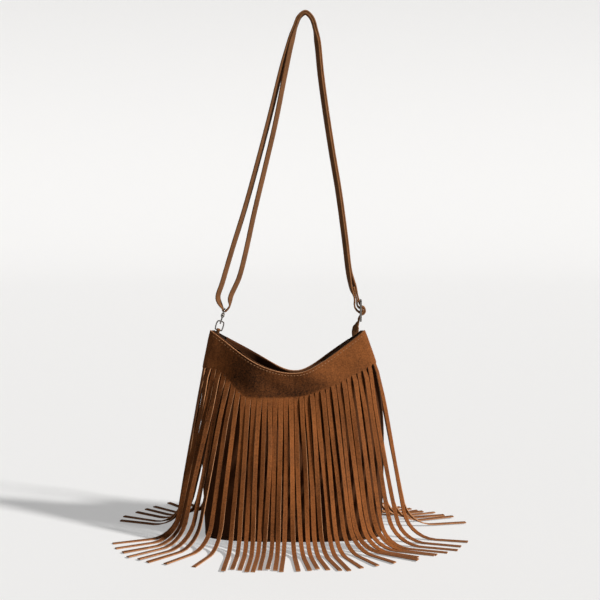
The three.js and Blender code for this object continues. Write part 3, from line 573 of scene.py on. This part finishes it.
def strip_path(side, strip):
    """Stations down a strip: its middle, the way across it and the way its outer face looks."""
    part = (strip + 0.5) / STRIPS
    share = even_share(part)
    across = 2 * part - 1
    hand, reach = (1 if across > 0 else -1), abs(across)
    seed = strip + 500 if side > 0 else strip
    level = level_at(share, yoke_line(mouth_x(share)), side)
    start = wall(side, share, level, -YOKE_OUT)
    turn0 = outward(side, share, HANG_LEVEL)
    stray = (STRAY_SIDE if reach > 0.5 else STRAY_MIDDLE) * (scatter(seed, 1) - 0.5)
    turn1 = side * radians(90 - hand * (between(TAIL_TURN[hand], reach) + stray))
    normal = Vector((cos(turn0), sin(turn0), 0))
    hang = radians(mix(*HANG_ANGLES, reach))
    low = CLEAR_FROM
    while low < level - 2 * CLEAR_STEP:
        body = wall(side, share, low, 0)
        drop = start.z - body.z
        room = (SUEDE_THICK + CLEARANCE) * clamp01(drop / mix(1, CLEARANCE_REACH, reach ** 2))
        hang = max(hang, atan2((body - start).dot(normal) + room, drop))
        low += CLEAR_STEP
    sideways = tan(radians(between(SIDE_LEAN[hand], reach)))
    ahead_x = hand * max(sideways, abs(tan(hang) * normal.x))
    ahead_y = tan(hang) * normal.y
    hang_lean = atan(hypot(ahead_x, ahead_y))
    hang_turn = atan2(ahead_y, ahead_x)
    radius = mix(*FLOOR_BENDS, reach) * (BEND_LEAST + BEND_SPREAD * scatter(seed, 2))
    hang_length = (start.z - SUEDE_THICK / 2 - radius * (1 - sin(hang_lean))) / cos(hang_lean)
    bend_length = radius * (pi / 2 - hang_lean)
    length = start.z + STRIP_TAIL - TAIL_LOSS * max(0, across) ** 2
    length += LENGTH_SPREAD * (scatter(seed, 3) - 0.5)
    drift_size = DRIFT * (scatter(seed, 4) - 0.5)
    drift_turn = 6.3 * scatter(seed, 5)
    curl_size = radians(CURL) * (scatter(seed, 6) - 0.5) * 2
    lift = LIFT * scatter(seed, 7)

    def heading(at):
        lean = mix(hang_lean, pi / 2, clamp01((at - hang_length) / bend_length))
        turned = (at - TURN_FROM * hang_length) / (TURN_SPAN * bend_length)
        turn = mix(hang_turn, turn1, smooth(turned))
        ahead = Vector((cos(turn), sin(turn), 0))
        return lean, ahead * sin(lean) - Vector((0, 0, cos(lean)))

    place = start.copy()
    stations = []
    along = 0.0
    for row in range(ROWS + 1):
        target = FIRST_ROW * row if row < 2 else length * ((row - 1) / (ROWS - 1)) ** ROW_EASE
        while along < target - 1e-9:
            move = min(PATH_STEP, target - along)
            place += move * heading(along + move / 2)[1]
            along += move
        lean, tangent = heading(along)
        face = mix(turn0, side * pi / 2, FACE_PULL * reach * smooth(along / FACE_WAY))
        outer = Vector((cos(lean) * cos(face), cos(lean) * sin(face), sin(lean)))
        outer = (outer - tangent * outer.dot(tangent)).normalized()
        wide = outer.cross(tangent) * -side
        free = smooth(along / FREE_WAY)
        floor_part = clamp01((along - hang_length) / bend_length)
        layer = LAYER * (strip % 2) * smooth(along / LAYER_WAY) * (1 - smooth(floor_part))
        drift = drift_size * free * sin(pi * 1.6 * along / length + drift_turn)
        curl = curl_size * free * sin(pi * clamp01(along / length) * 2 + drift_turn)
        curl *= 1 - 0.8 * smooth(floor_part * 1.3)
        rest = lift * smooth(floor_part) * (0.4 + 0.6 * sin(3 * along / length + drift_turn) ** 2)
        centre = place + outer * (layer + rest) + wide * drift
        across_way = wide * cos(curl) + outer * sin(curl)
        stations.append((centre, across_way, outer * cos(curl) - wide * sin(curl)))
    return stations


# %% [markdown]
# The panel's vertices carry a tone, by which its material gets darker or lighter: pale at a strip's
# edges and a little different from strip to strip. Painted shade darkens the strips to the far left
# and the left and middle of the front yoke, where shade falls.

# %% Fringe sheet
YOKE_ROWS = 14
CUT_PART = (1 - STRIP_WIDTH / PITCH) / 2 / STRIPS
YOKE_RIPPLE, STRIP_CUP = 0.35, 0.35
STRIP_SLIM, SLIM_SPREAD = 0.12, 0.1
# Places and strength of the painted shade on the front yoke.
PAINTED_SHADE_RISE, PAINTED_SHADE_FALL = (-96, -70), (2, 48)
PAINTED_SHADE_TONE, PAINTED_SHADE_FADE = -0.76, 0.3
TONE_SPREAD, EDGE_TONE, MIDDLE_TONE = 0.24, 0.24, -0.08
# Strength and reach of the painted shade on the strips to the far left.
LEFT_PAINTED_SHADE, LEFT_SHADE_REACH = -0.24, (-125, -50)
SHARP_ANGLE = radians(38)


def column_part(column):
    """How far round a column of the panel lies: each strip has one at each edge and one between."""
    strip, place = divmod(column, 3)
    return mix(strip / STRIPS + CUT_PART, (strip + 1) / STRIPS - CUT_PART, place / 2)


def brushed(x):
    """How much painted shade the front yoke gets, by place across: most on its left and middle, where
    shade falls.
    """
    return ramp(x, *PAINTED_SHADE_RISE) * (1 - ramp(x, *PAINTED_SHADE_FALL))


def yoke_place(side, u, v):
    share = even_share(u)
    low = level_at(share, yoke_line(mouth_x(share)), side)
    return wall(side, share, mix(low, 1, v), -YOKE_OUT)


def fringe_size(side, paths):
    """Width of the yoke and the longest way from the rim to a strip's tip, in millimetres."""
    ways = []
    for strip, path in enumerate(paths):
        yoke_way = [yoke_place(side, (strip + 0.5) / STRIPS, 1 - k / 8) for k in range(9)]
        ways.append(yoke_way + [station[0] for station in path])
    return cut_size(lambda u, v: yoke_place(side, u, v))[0], max(map(run_length, ways))


def extrude_line(bm, edges):
    """Extrudes edges: gives the new edges and, for each new vertex, the one it was made from."""
    made = bmesh.ops.extrude_edge_only(bm, edges=edges)["geom"]
    fresh = {g for g in made if isinstance(g, bmesh.types.BMVert)}
    new_edges = [g for g in made if isinstance(g, bmesh.types.BMEdge)
                 and g.verts[0] in fresh and g.verts[1] in fresh]
    source = {vert: next(e.other_vert(vert) for e in vert.link_edges if e.other_vert(vert) not in fresh)
              for vert in fresh}
    return new_edges, source


def fringe_sheet(side, name):
    """The panel, its flat area in square metres and its cut size."""
    columns = STRIPS * 3
    bm = bmesh.new()
    bmesh.ops.create_grid(bm, x_segments=columns - 1, y_segments=YOKE_ROWS, size=0.5)
    tone = bm.verts.layers.float.new("tone")
    bottom = {}
    for vert in bm.verts:
        column = round((vert.co.x + 0.5) * (columns - 1))
        height = vert.co.y + 0.5
        share = even_share(column_part(column))
        low = level_at(share, yoke_line(mouth_x(share)), side)
        ripple = YOKE_RIPPLE * sin(column * 0.31 + 4 * height) * sin(pi * height)
        vert.co = wall(side, share, mix(low, 1, height), ripple - YOKE_OUT) * MM
        if side < 0:
            # Painted shade: the front yoke's tone is darkened on its left and middle, where shade falls.
            fade = (1 - PAINTED_SHADE_FADE * height) * min(1, height * YOKE_ROWS)
            vert[tone] = PAINTED_SHADE_TONE * brushed(mouth_x(share)) * fade
        if height < 1e-4:
            bottom[vert] = column
    edges = [e for e in bm.edges if e.verts[0] in bottom and e.verts[1] in bottom
             and bottom[e.verts[0]] // 3 == bottom[e.verts[1]] // 3]
    if side > 0:
        bmesh.ops.reverse_faces(bm, faces=bm.faces[:])
    paths = [strip_path(side, strip) for strip in range(STRIPS)]
    for row in range(1, ROWS + 1):
        edges, source = extrude_line(bm, edges)
        bottom = {vert: bottom[above] for vert, above in source.items()}
        for vert, column in bottom.items():
            strip, place = divmod(column, 3)
            centre, wide, outer = paths[strip][row]
            slim = 1 - (STRIP_SLIM + SLIM_SPREAD * scatter(strip + 40 * side, 11)) * smooth(row / 5)
            side_step = (place - 1) * STRIP_WIDTH / 2 * slim
            cup = STRIP_CUP * (scatter(strip, 9) - 0.3) if place == 1 else 0
            vert.co = (centre + wide * side_step + outer * cup) * MM
            own = (scatter(strip + (90 if side > 0 else 0), 8) - 0.5) * TONE_SPREAD
            # Painted shade: strips toward the far left are darkened, where shade falls on them.
            own += LEFT_PAINTED_SHADE * (1 - ramp(centre.x, *LEFT_SHADE_REACH))
            edge_tone = MIDDLE_TONE if place == 1 else EDGE_TONE
            vert[tone] = own * min(1, row / 6) + edge_tone * min(1, row / 3)
    bmesh.ops.recalc_face_normals(bm, faces=bm.faces[:])
    top_face = max(bm.faces, key=lambda f: f.calc_center_median().z)
    if top_face.normal.y * side < 0:
        bmesh.ops.reverse_faces(bm, faces=bm.faces[:])
    flat_area = sum(f.calc_area() for f in bm.faces)
    piece = finish_piece(bm, name, [fringe_suede, raw_edge])
    solid = piece.modifiers.new("thickness", "SOLIDIFY")
    solid.thickness = SUEDE_THICK * MM
    solid.offset = 0
    solid.material_offset_rim = 1
    ready = piece.evaluated_get(bpy.context.evaluated_depsgraph_get())
    thick_mesh = bpy.data.meshes.new_from_object(ready)
    piece.modifiers.clear()
    piece.data = thick_mesh
    thick_mesh.set_sharp_from_angle(angle=SHARP_ANGLE)
    return piece, flat_area, fringe_size(side, paths)


for side, name, node, behind in ((-1, "front_fringe_suede", "front_fringe_panel", body_front),
                                 (1, "back_fringe_suede", "back_fringe_panel", body_back)):
    piece, area, size = fringe_sheet(side, name)
    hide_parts(node)

# %% [markdown]
# ## Lining and facings
# Inside the mouth one sees the suede facing below the rim and the cloth lining under it. They are
# the same wall sheets, further in.


# %% Lining and facings
LINING_IN, LINING_THICK, LINING_LIFT = 2.05, 0.7, 0.4
FACING_IN, FACING_THICK, FACING_DEPTH = 3.3, 1.1, 24
FACING_FROM, FACING_TO = 3 / STRIPS, 31 / STRIPS
FLOOR_CLOTH_IN, FLOOR_CLOTH_HEIGHT, FLOOR_CLOTH_THICK, FLOOR_CLOTH_STEPS = 2.95, 2.9, 0.6, 48


def lining_sheet(side, name):
    def place(u, v):
        point = wall(side, even_share(u), v, LINING_IN)
        if v < 1e-4:
            point.z += LINING_LIFT
        return point
    bm = wall_sheet(side, LINING_GRID, place)
    bmesh.ops.solidify(bm, geom=bm.faces[:], thickness=LINING_THICK * MM)
    return finish_piece(bm, name, [lining_cloth]), cut_size(place)


def facing_sheet(side, name):
    def place(u, v):
        share = even_share(mix(FACING_FROM, FACING_TO, u))
        low = level_at(share, rim_height(mouth_x(share), side) - FACING_DEPTH, side)
        return wall(side, share, mix(low, 1, v), FACING_IN)
    bm = wall_sheet(side, FACING_GRID, place)
    bmesh.ops.solidify(bm, geom=bm.faces[:], thickness=FACING_THICK * MM)
    return finish_piece(bm, name, [body_suede]), cut_size(place, level=False)


def lining_floor():
    bm = foot_outline(FLOOR_CLOTH_IN, FLOOR_CLOTH_HEIGHT, FLOOR_CLOTH_STEPS)
    bmesh.ops.recalc_face_normals(bm, faces=bm.faces[:])
    bmesh.ops.solidify(bm, geom=bm.faces[:], thickness=-FLOOR_CLOTH_THICK * MM)
    return finish_piece(bm, "lining_floor_cloth", [lining_cloth], smooth_faces=False)


lining_pieces = [lining_sheet(-1, "front_lining_cloth"), lining_sheet(1, "back_lining_cloth")]
facing_pieces = [facing_sheet(-1, "front_facing_suede"), facing_sheet(1, "back_facing_suede")]
floor_cloth = lining_floor()
floor_size = (floor_cloth.dimensions.x / MM, floor_cloth.dimensions.y / MM)
for piece, size in lining_pieces + [(floor_cloth, floor_size)]:
    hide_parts("lining")
for (piece, size), node in zip(facing_pieces, ("front_rim_facing", "back_rim_facing")):
    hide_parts(node)

# %% [markdown]
# ## Stitching
# One row runs along each rim. Each stitch is a short round thread that dips into the suede at both
# ends, so one small capsule is made and set along the line.

# %% Stitches
STITCH_LENGTH, STITCH_RADIUS = 2.9, 0.45
STITCH_PITCH, STITCH_DROP = 4.4, 3.4
STITCHES = int(girth[-1] / STITCH_PITCH)
THREAD_OUT = YOKE_GAP + SUEDE_THICK + 0.05


def add_stitch(bm, centre, along, out):
    made = bmesh.ops.create_uvsphere(bm, u_segments=6, v_segments=4, radius=STITCH_RADIUS * MM)["verts"]
    for vert in made:
        vert.co.z *= STITCH_LENGTH / (2 * STITCH_RADIUS)
    turned = Matrix((along.cross(out).normalized(), out, along)).transposed()
    bmesh.ops.rotate(bm, verts=made, matrix=turned)
    bmesh.ops.translate(bm, verts=made, vec=centre * MM)


def stitch_ends(side, i):
    for part in ((i - 0.3) / STITCHES, (i + 0.3) / STITCHES):
        share = even_share(part)
        level = level_at(share, rim_height(mouth_x(share), side) - STITCH_DROP, side)
        yield wall(side, share, level, -THREAD_OUT)


for side, name in ((-1, "front_rim_thread"), (1, "back_rim_thread")):
    bm = bmesh.new()
    for i in range(2, STITCHES - 1):
        start, end = stitch_ends(side, i)
        along = (end - start).normalized()
        turn = outward(side, even_share(i / STITCHES), 0.95)
        out = Vector((cos(turn), sin(turn), 0))
        add_stitch(bm, (start + end) / 2, along, (out - along * out.dot(along)).normalized())
    finish_piece(bm, name, [thread])
print("stitches on one side:", STITCHES - 3)

# %% [markdown]
# ## Strap
# The strap is a suede strip with raw edges, cut in one length. A list of stations gives its route,
# each with a place and the way its outer face looks. A curve through them gives smooth steps, and a
# small section with rounded corners is swept along, paler at its cut edges.

# %% Ribbon tool
STRAP_WIDTH, STRAP_THICK, STRAP_STEPS = 9, 2.2, 7
CUT_TONE, SHOULDER_TONE, FLAT_TONE, TONE_WAVE = 0.75, 0.3, -0.1, 0.25


def spline(points, t):
    """Place on a rounded line through the points: point 0 at t = 0, point 1 at t = 1, and so on."""
    last = len(points) - 1
    i = min(last - 1, int(t))
    f = t - i
    p1, p2 = points[i], points[i + 1]
    p0 = points[i - 1] if i > 0 else p1 * 2 - p2
    p3 = points[i + 2] if i + 2 <= last else p2 * 2 - p1
    d01, d12, d23 = (max((b - a).length, 1e-6) ** 0.5 for a, b in ((p0, p1), (p1, p2), (p2, p3)))
    m1 = ((p1 - p0) / d01 - (p2 - p0) / (d01 + d12) + (p2 - p1) / d12) * d12
    m2 = ((p2 - p1) / d12 - (p3 - p1) / (d12 + d23) + (p3 - p2) / d23) * d12
    f2, f3 = f * f, f * f * f
    return p1 * (2 * f3 - 3 * f2 + 1) + m1 * (f3 - 2 * f2 + f) + p2 * (3 * f2 - 2 * f3) + m2 * (f3 - f2)


def swept_ribbon(name, stations, width, thickness, steps, softness):
    """The ribbon and the length of its route, in millimetres."""
    places = [Vector(s[:3]) for s in stations]
    looks = [Vector(s[3:]) for s in stations]
    half_w, half_t = width / 2, thickness / 2
    corner = [(-half_w, -half_t + softness), (-half_w + softness, -half_t), (0, -half_t),
              (half_w - softness, -half_t), (half_w, -half_t + softness)]
    section = corner + [(-a, -b) for a, b in corner]
    tones = [CUT_TONE if abs(a) == half_w else SHOULDER_TONE if a else FLAT_TONE for a, _ in section]
    bm = bmesh.new()
    tone = bm.verts.layers.float.new("tone")
    end = len(stations) - 1
    ring, route = None, []
    for k in range(end * steps + 1):
        t = k / steps
        place = spline(places, t)
        tangent = (spline(places, min(t + 0.02, end)) - spline(places, max(t - 0.02, 0))).normalized()
        i = min(end - 1, int(t))
        look = looks[i].lerp(looks[i + 1], smooth(t - i))
        look = (look - tangent * look.dot(tangent)).normalized()
        wide = tangent.cross(look)
        route.append(place)
        if ring is None:
            ring = [bm.verts.new() for _ in section]
            edges = bm.faces.new(ring).edges[:]
            wave = 0
        else:
            edges, source = extrude_line(bm, edges)
            follow = {above: vert for vert, above in source.items()}
            ring = [follow[vert] for vert in ring]
            wave = TONE_WAVE * sin(0.9 * k) * sin(0.37 * k)
        for vert, (a, b), value in zip(ring, section, tones):
            vert.co = (place + wide * a + look * b) * MM
            vert[tone] = value + wave
    bm.faces.new(ring)
    bmesh.ops.recalc_face_normals(bm, faces=bm.faces[:])
    return finish_piece(bm, name, [strap_suede]), run_length(route)


# %% Strap route
FIT = 0.3
BAR = 1.2
HALF_STRAP = STRAP_THICK / 2
SLIDER = (87, 299)
SLIDER_HEIGHT = 28
BAR_PITCH = SLIDER_HEIGHT / 2 - BAR
PASS_U = -(BAR + FIT + HALF_STRAP)
STACK = STRAP_THICK + FIT
LOOP_R = BAR * 1.42 + FIT + HALF_STRAP
PASS_R = LOOP_R + STACK
TILT = radians(17)
RING_BAR = Vector((-98.4, 0, 273.2))
WIRE, HOOK_WIRE = 0.9, 1.1
RING_TOP = 10.2 + 2 * WIRE
HOOK_BOTTOM = RING_TOP - WIRE - HOOK_WIRE - 0.5
BOSS_LOW = HOOK_BOTTOM + 9
BOSS_TOP = BOSS_LOW + 2.7
EYE_FOOT = BOSS_TOP + FIT + 1.4
EYE_BAR = EYE_FOOT + 5.4
EYE = (RING_BAR.x + EYE_BAR * sin(TILT), RING_BAR.z + EYE_BAR * cos(TILT))
EYE_LOOP = WIRE + FIT + HALF_STRAP
HALF_STEP = STACK / 2 + 0.1


def near_slider(u, v, look):
    return (SLIDER[0] + u, 0, SLIDER[1] + v, *look)


def on_ring(centre, radius, angle):
    c, s = cos(radians(angle)), sin(radians(angle))
    return (centre[0] + radius * c, 0, centre[1] + radius * s, c, 0, s)


BAND = [(71.5, 350), (66.5, 390), (58, 452), (49, 505), (41, 556), (34.5, 603), (30.5, 642)]
ARCH = [(27.4, 660, 0.92, 0.3), (22.6, 674, 0.7, 0.72), (15, 680.5, 0.1, 1), (7.4, 675.5, -0.7, 0.72),
        (2.2, 664, -0.92, 0.35)]
LEFT_OUTER = [(-4.5, 647), (-15, 612), (-29, 556), (-45.5, 494), (-63, 432), (-80, 378), (-92.5, 336),
              (-98.6, 315)]
LEFT_INNER = [(-82.3, 316), (-71, 342), (-62.5, 374), (-51.5, 424), (-36, 488), (-23.5, 541),
              (-10.5, 606), (-2.6, 643)]


def band_station(point, hand):
    look = (0.82 * hand, 0.57 * hand, 0)
    return (point[0] + look[0] * HALF_STEP, look[1] * HALF_STEP, point[1], *look)


def arch_station(point, hand):
    x, z, look_x, look_z = point
    return (x + hand * look_x * HALF_STEP, 0, z + hand * look_z * HALF_STEP,
            hand * look_x, 0.2 * hand, hand * look_z)


STRAP_ROUTE = [
    (84.5, 0.1, 246, 0, 1, 0), (82.7, 0.1, 257, 0, 1, 0), (80, 0.1, 268, 0.02, 1, 0),
    (80.6, 0, 275.5, 0.5, 0.87, 0), (82.2, 0, 280, 0.95, 0.3, 0),
    near_slider(PASS_U - 0.2, -BAR_PITCH - 1.5, (1, 0, 0)),
    near_slider(PASS_U, -BAR_PITCH + 1.2, (1, 0, 0)), near_slider(0.6, -PASS_R - 0.2, (0.75, 0, -0.66)),
    *[on_ring(SLIDER, PASS_R, a) for a in (-45, 0, 45)],
    near_slider(0.6, PASS_R + 0.2, (0.75, 0, 0.66)), near_slider(PASS_U, BAR_PITCH - 1.2, (1, 0, 0)),
    near_slider(PASS_U - 0.2, BAR_PITCH + 1.5, (1, 0, 0)),
    (82.6, 0, 319, 1, 0, 0), (78.2, 1, 333, 0.9, 0.4, 0),
    *[band_station(p, 1) for p in BAND], *[arch_station(p, 1) for p in ARCH],
    *[(x, 0, z, -0.82, 0.57, 0) for x, z in LEFT_OUTER],
    *[on_ring(EYE, EYE_LOOP, a) for a in (165, 205, 245, 285)], on_ring(EYE, EYE_LOOP + 0.3, 325),
    (EYE[0] + 6.6, 0, EYE[1] + 4.2, 0.85, 0, -0.5),
    *[(x, 0, z, 0.82, -0.57, 0) for x, z in LEFT_INNER],
    *[arch_station(p, -1) for p in reversed(ARCH)], *[band_station(p, -1) for p in reversed(BAND)],
    (74.2, -0.6, 328, -0.95, -0.3, 0), near_slider(PASS_U - 2 * STACK - 0.6, BAR_PITCH + 3, (-1, 0, 0)),
    near_slider(PASS_U - 2 * STACK - 0.4, 5.5, (-1, 0, 0)), near_slider(-6, 1.2, (-0.9, 0, -0.4)),
    *[on_ring(SLIDER, LOOP_R, a) for a in (225, 270, 315, 360, 405, 450)],
    near_slider(-2.8, 4.2, (0.6, 0, 0.8)), near_slider(-4.7, 7.2, (0.9, 0, 0.4)),
    near_slider(PASS_U - STACK, BAR_PITCH + 1, (1, 0, 0)), (80.2, 0, 318.5, 1, 0, 0.1),
    (76.5, 0.1, 330, 0.95, 0.3, 0.1),
]
strap, strap_length = swept_ribbon("strap_suede_strip", STRAP_ROUTE, STRAP_WIDTH, STRAP_THICK,
                                   STRAP_STEPS, 0.45)
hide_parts("shoulder_strap")
print("strap length in millimetres:", round(strap_length))

# %% [markdown]
# ## Side tab
# A short strip is folded round the ring's bar and sewn into the corner.


# %% Side tab
def leaning(x, y, z):
    """A place or direction of the left fittings, which lean with the side seam."""
    return Vector((x * cos(TILT) + z * sin(TILT), y, -x * sin(TILT) + z * cos(TILT)))


TAB_WIDTH, TAB_THICK = 4.6, 1.0
TAB_ROUND = WIRE + 0.2 + TAB_THICK / 2
TAB_SHUT = 0.62
tab_front = [(0, TAB_SHUT, -13, 0, 1, 0), (0, TAB_SHUT, -8, 0, 1, 0),
             (0, TAB_SHUT + 0.2, -3.2, 0, 1, 0.1)]
tab_turns = [radians(mix(-20, 200, i / 6)) for i in range(7)]
tab_fold = [(0, TAB_ROUND * cos(a), TAB_ROUND * sin(a), 0, cos(a), sin(a)) for a in tab_turns]
tab_back = [(x, -y, z, a, -b, c) for x, y, z, a, b, c in reversed(tab_front)]
tab_route = [(*(RING_BAR + leaning(*s[:3])), *leaning(*s[3:])) for s in tab_front + tab_fold + tab_back]
tab, tab_length = swept_ribbon("side_tab_suede", tab_route, TAB_WIDTH, TAB_THICK, 6, 0.25)
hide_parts("side_tab")
print("side tab, length in millimetres:", round(tab_length))

# %% [markdown]
# ## Metal fittings
# Ring, hook and eye are bent and cast from round wire, so each is a curve with a round bevel, turned
# into a mesh. The frame's own pins, spring, gate and snap already have their true shape and only get
# their finish.


# %% Wire fittings
def add_wire(bm, points, radius, closed=False):
    """A round wire through the points, in the fittings' leaning axes."""
    data = bpy.data.curves.new("wire", "CURVE")
    data.dimensions = "3D"
    data.bevel_depth = radius * MM
    data.bevel_resolution = 3
    data.resolution_u = 6
    data.use_fill_caps = True
    line = data.splines.new("BEZIER")
    line.bezier_points.add(len(points) - 1)
    line.use_cyclic_u = closed
    for spot, point in zip(line.bezier_points, points):
        spot.co = (RING_BAR + leaning(*point)) * MM
        spot.handle_left_type = spot.handle_right_type = "AUTO"
    holder = bpy.data.objects.new("wire", data)
    scene.collection.objects.link(holder)
    shape = holder.evaluated_get(bpy.context.evaluated_depsgraph_get()).to_mesh()
    bm.from_mesh(shape)
    bpy.data.objects.remove(holder)
    bpy.data.curves.remove(data)


def add_turned(bm, profile):
    """A turned piece about the fittings' leaning axis: the profile is (radius, height)."""
    before = set(bm.verts)
    verts = [bm.verts.new((r, 0, z)) for r, z in profile]
    edges = [bm.edges.new(pair) for pair in zip(verts, verts[1:])]
    bmesh.ops.spin(bm, geom=verts + edges, cent=(0, 0, 0), axis=(0, 0, 1), angle=2 * pi,
                   steps=28, use_merge=True)
    turned = [vert for vert in bm.verts if vert not in before]
    for vert in turned:
        vert.co = (RING_BAR + leaning(*vert.co)) * MM
    bmesh.ops.remove_doubles(bm, verts=turned, dist=0.001 * MM)


def metal_piece(bm, name, node, body):
    bmesh.ops.recalc_face_normals(bm, faces=bm.faces[:])
    piece = finish_piece(bm, name, [nickel], body=body)
    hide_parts(node)
    return piece


RING_HALF = 7 / 2 + WIRE
half_ring = [(0, 0, 0), (2.5, 0, 0), (RING_HALF - 0.3, 0, 0.3), (RING_HALF, 0, 1.3),
             (RING_HALF, 0, RING_TOP - 2.6), (RING_HALF - 0.75, 0, RING_TOP - 0.75),
             (RING_HALF - 2.6, 0, RING_TOP - 0.05), (0, 0, RING_TOP)]
bm = bmesh.new()
add_wire(bm, half_ring + [(-x, y, z) for x, y, z in half_ring[-2:0:-1]], WIRE, closed=True)
ring = metal_piece(bm, "d_ring_wire", "d_ring", "ring")

HOOK_HALF = 4.3
HOOK_THINNER = 0.1
GATE_LUG, LUG_WIRE, LUG_BRIDGE, ARM_WIRE = 1.68, 0.55, 0.6, 0.95
hook_bend = [(0, -1.2, BOSS_LOW + 1.5), (0, -HOOK_HALF + 1, BOSS_LOW + 0.9),
             (0, -HOOK_HALF, BOSS_LOW - 1.5), (0, -HOOK_HALF, HOOK_BOTTOM + 3),
             (0, -HOOK_HALF + 0.7, HOOK_BOTTOM + 0.8),
             (0, -HOOK_HALF + 2.4, HOOK_BOTTOM), (0, HOOK_HALF - 2.4, HOOK_BOTTOM),
             (0, HOOK_HALF - 0.7, HOOK_BOTTOM + 0.8), (0, HOOK_HALF, HOOK_BOTTOM + 2.6),
             (0, HOOK_HALF, HOOK_BOTTOM + 3.8)]
gate_arm = [(0, 1.2, BOSS_TOP - 0.9), (0, 3, BOSS_TOP - 0.8), (0, HOOK_HALF + 0.3, BOSS_TOP - 1)]
bm = bmesh.new()
add_wire(bm, hook_bend, HOOK_WIRE - HOOK_THINNER)
add_wire(bm, gate_arm, ARM_WIRE)
for x in (-GATE_LUG, GATE_LUG):
    add_wire(bm, [(x, HOOK_HALF - 0.7, BOSS_LOW + 1.6), (x, HOOK_HALF + 0.1, BOSS_LOW + 0.4),
                  (x, HOOK_HALF, BOSS_LOW - 1.2)], LUG_WIRE)
add_wire(bm, [(x, HOOK_HALF - 0.5, BOSS_TOP - 0.9) for x in (-1.7, 1.7)], LUG_BRIDGE)
add_turned(bm, [(1.2, BOSS_LOW), (2.2, BOSS_LOW), (2.5, BOSS_LOW + 0.4), (2.5, BOSS_TOP - 0.4),
                (2.2, BOSS_TOP), (1.2, BOSS_TOP), (1.2, BOSS_LOW)])
hook = metal_piece(bm, "swivel_hook_cast", "hook_body", "hook")

EYE_HALF = STRAP_WIDTH / 2 + 0.4 + WIRE
eye_loop = [(0, -EYE_HALF + 1.3, EYE_FOOT), (0, EYE_HALF - 1.3, EYE_FOOT), (0, EYE_HALF, EYE_FOOT + 1.3),
            (0, EYE_HALF, EYE_BAR - 1.3), (0, EYE_HALF - 1.3, EYE_BAR), (0, -EYE_HALF + 1.3, EYE_BAR),
            (0, -EYE_HALF, EYE_BAR - 1.3), (0, -EYE_HALF, EYE_FOOT + 1.3)]
bm = bmesh.new()
add_wire(bm, eye_loop, WIRE, closed=True)
add_turned(bm, [(0, EYE_FOOT + 0.4), (2.1, EYE_FOOT + 0.3), (2.1, BOSS_TOP + FIT + 0.3),
                (1.8, BOSS_TOP + FIT), (0.9, BOSS_TOP + FIT), (0.9, BOSS_LOW - FIT),
                (1.6, BOSS_LOW - FIT), (1.6, BOSS_LOW - 1), (1.2, BOSS_LOW - FIT - 1.2),
                (0, BOSS_LOW - FIT - 1.2)])
eye = metal_piece(bm, "swivel_eye_cast", "swivel_eye", "bag")

# %% [markdown]
# The slider is a flat frame with two windows: three bars and their sides are joined in a plane,
# pushed out to their depth and given round edges.


# %% Slider
SLIDER_HALF, SLIDER_WINDOW = 7.2, STRAP_WIDTH / 2 + 0.4
SLIDER_ROUND, SHARP = 0.55, 0.5


def slider_frame():
    bm = bmesh.new()
    bars = [(-SLIDER_HALF, SLIDER_HALF, z - BAR, z + BAR) for z in (-BAR_PITCH, 0, BAR_PITCH)]
    sides = [(a, b, low, high) for low, high in ((-BAR_PITCH + BAR, -BAR), (BAR, BAR_PITCH - BAR))
             for a, b in ((-SLIDER_HALF, -SLIDER_WINDOW), (SLIDER_WINDOW, SLIDER_HALF))]
    for y0, y1, z0, z1 in bars + sides:
        corners = [(0, y0, z0), (0, y1, z0), (0, y1, z1), (0, y0, z1)]
        bm.faces.new([bm.verts.new(c) for c in corners])
    for y in (-SLIDER_WINDOW, SLIDER_WINDOW):
        bmesh.ops.bisect_plane(bm, geom=bm.verts[:] + bm.edges[:] + bm.faces[:], plane_co=(0, y, 0),
                               plane_no=(0, 1, 0))
    bmesh.ops.remove_doubles(bm, verts=bm.verts[:], dist=0.001)
    bmesh.ops.recalc_face_normals(bm, faces=bm.faces[:])
    made = bmesh.ops.extrude_face_region(bm, geom=bm.faces[:])["geom"]
    moved = [g for g in made if isinstance(g, bmesh.types.BMVert)]
    bmesh.ops.translate(bm, verts=moved, vec=(2 * BAR, 0, 0))
    bmesh.ops.recalc_face_normals(bm, faces=bm.faces[:])
    sharp = [e for e in bm.edges if len(e.link_faces) == 2 and e.calc_face_angle() > SHARP]
    bmesh.ops.bevel(bm, geom=sharp, offset=SLIDER_ROUND, segments=3, profile=0.5, affect="EDGES",
                    material=-1)
    bmesh.ops.translate(bm, verts=bm.verts[:], vec=(SLIDER[0] - BAR, 0, SLIDER[1]))
    bmesh.ops.scale(bm, verts=bm.verts[:], vec=(MM, MM, MM))
    return metal_piece(bm, "strap_slider_cast", "strap_slider", "bag")


slider = slider_frame()

# %% Finish of the frame's own metal pieces
for node, finish in (("hook_gate", nickel), ("snap_socket", nickel), ("snap_stud", nickel),
                     ("gate_pin", spring_steel), ("gate_spring", spring_steel)):
    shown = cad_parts[node]
    shown.data.materials.clear()
    shown.data.materials.append(finish)
print("metal pieces:", ring.name, hook.name, eye.name, slider.name)
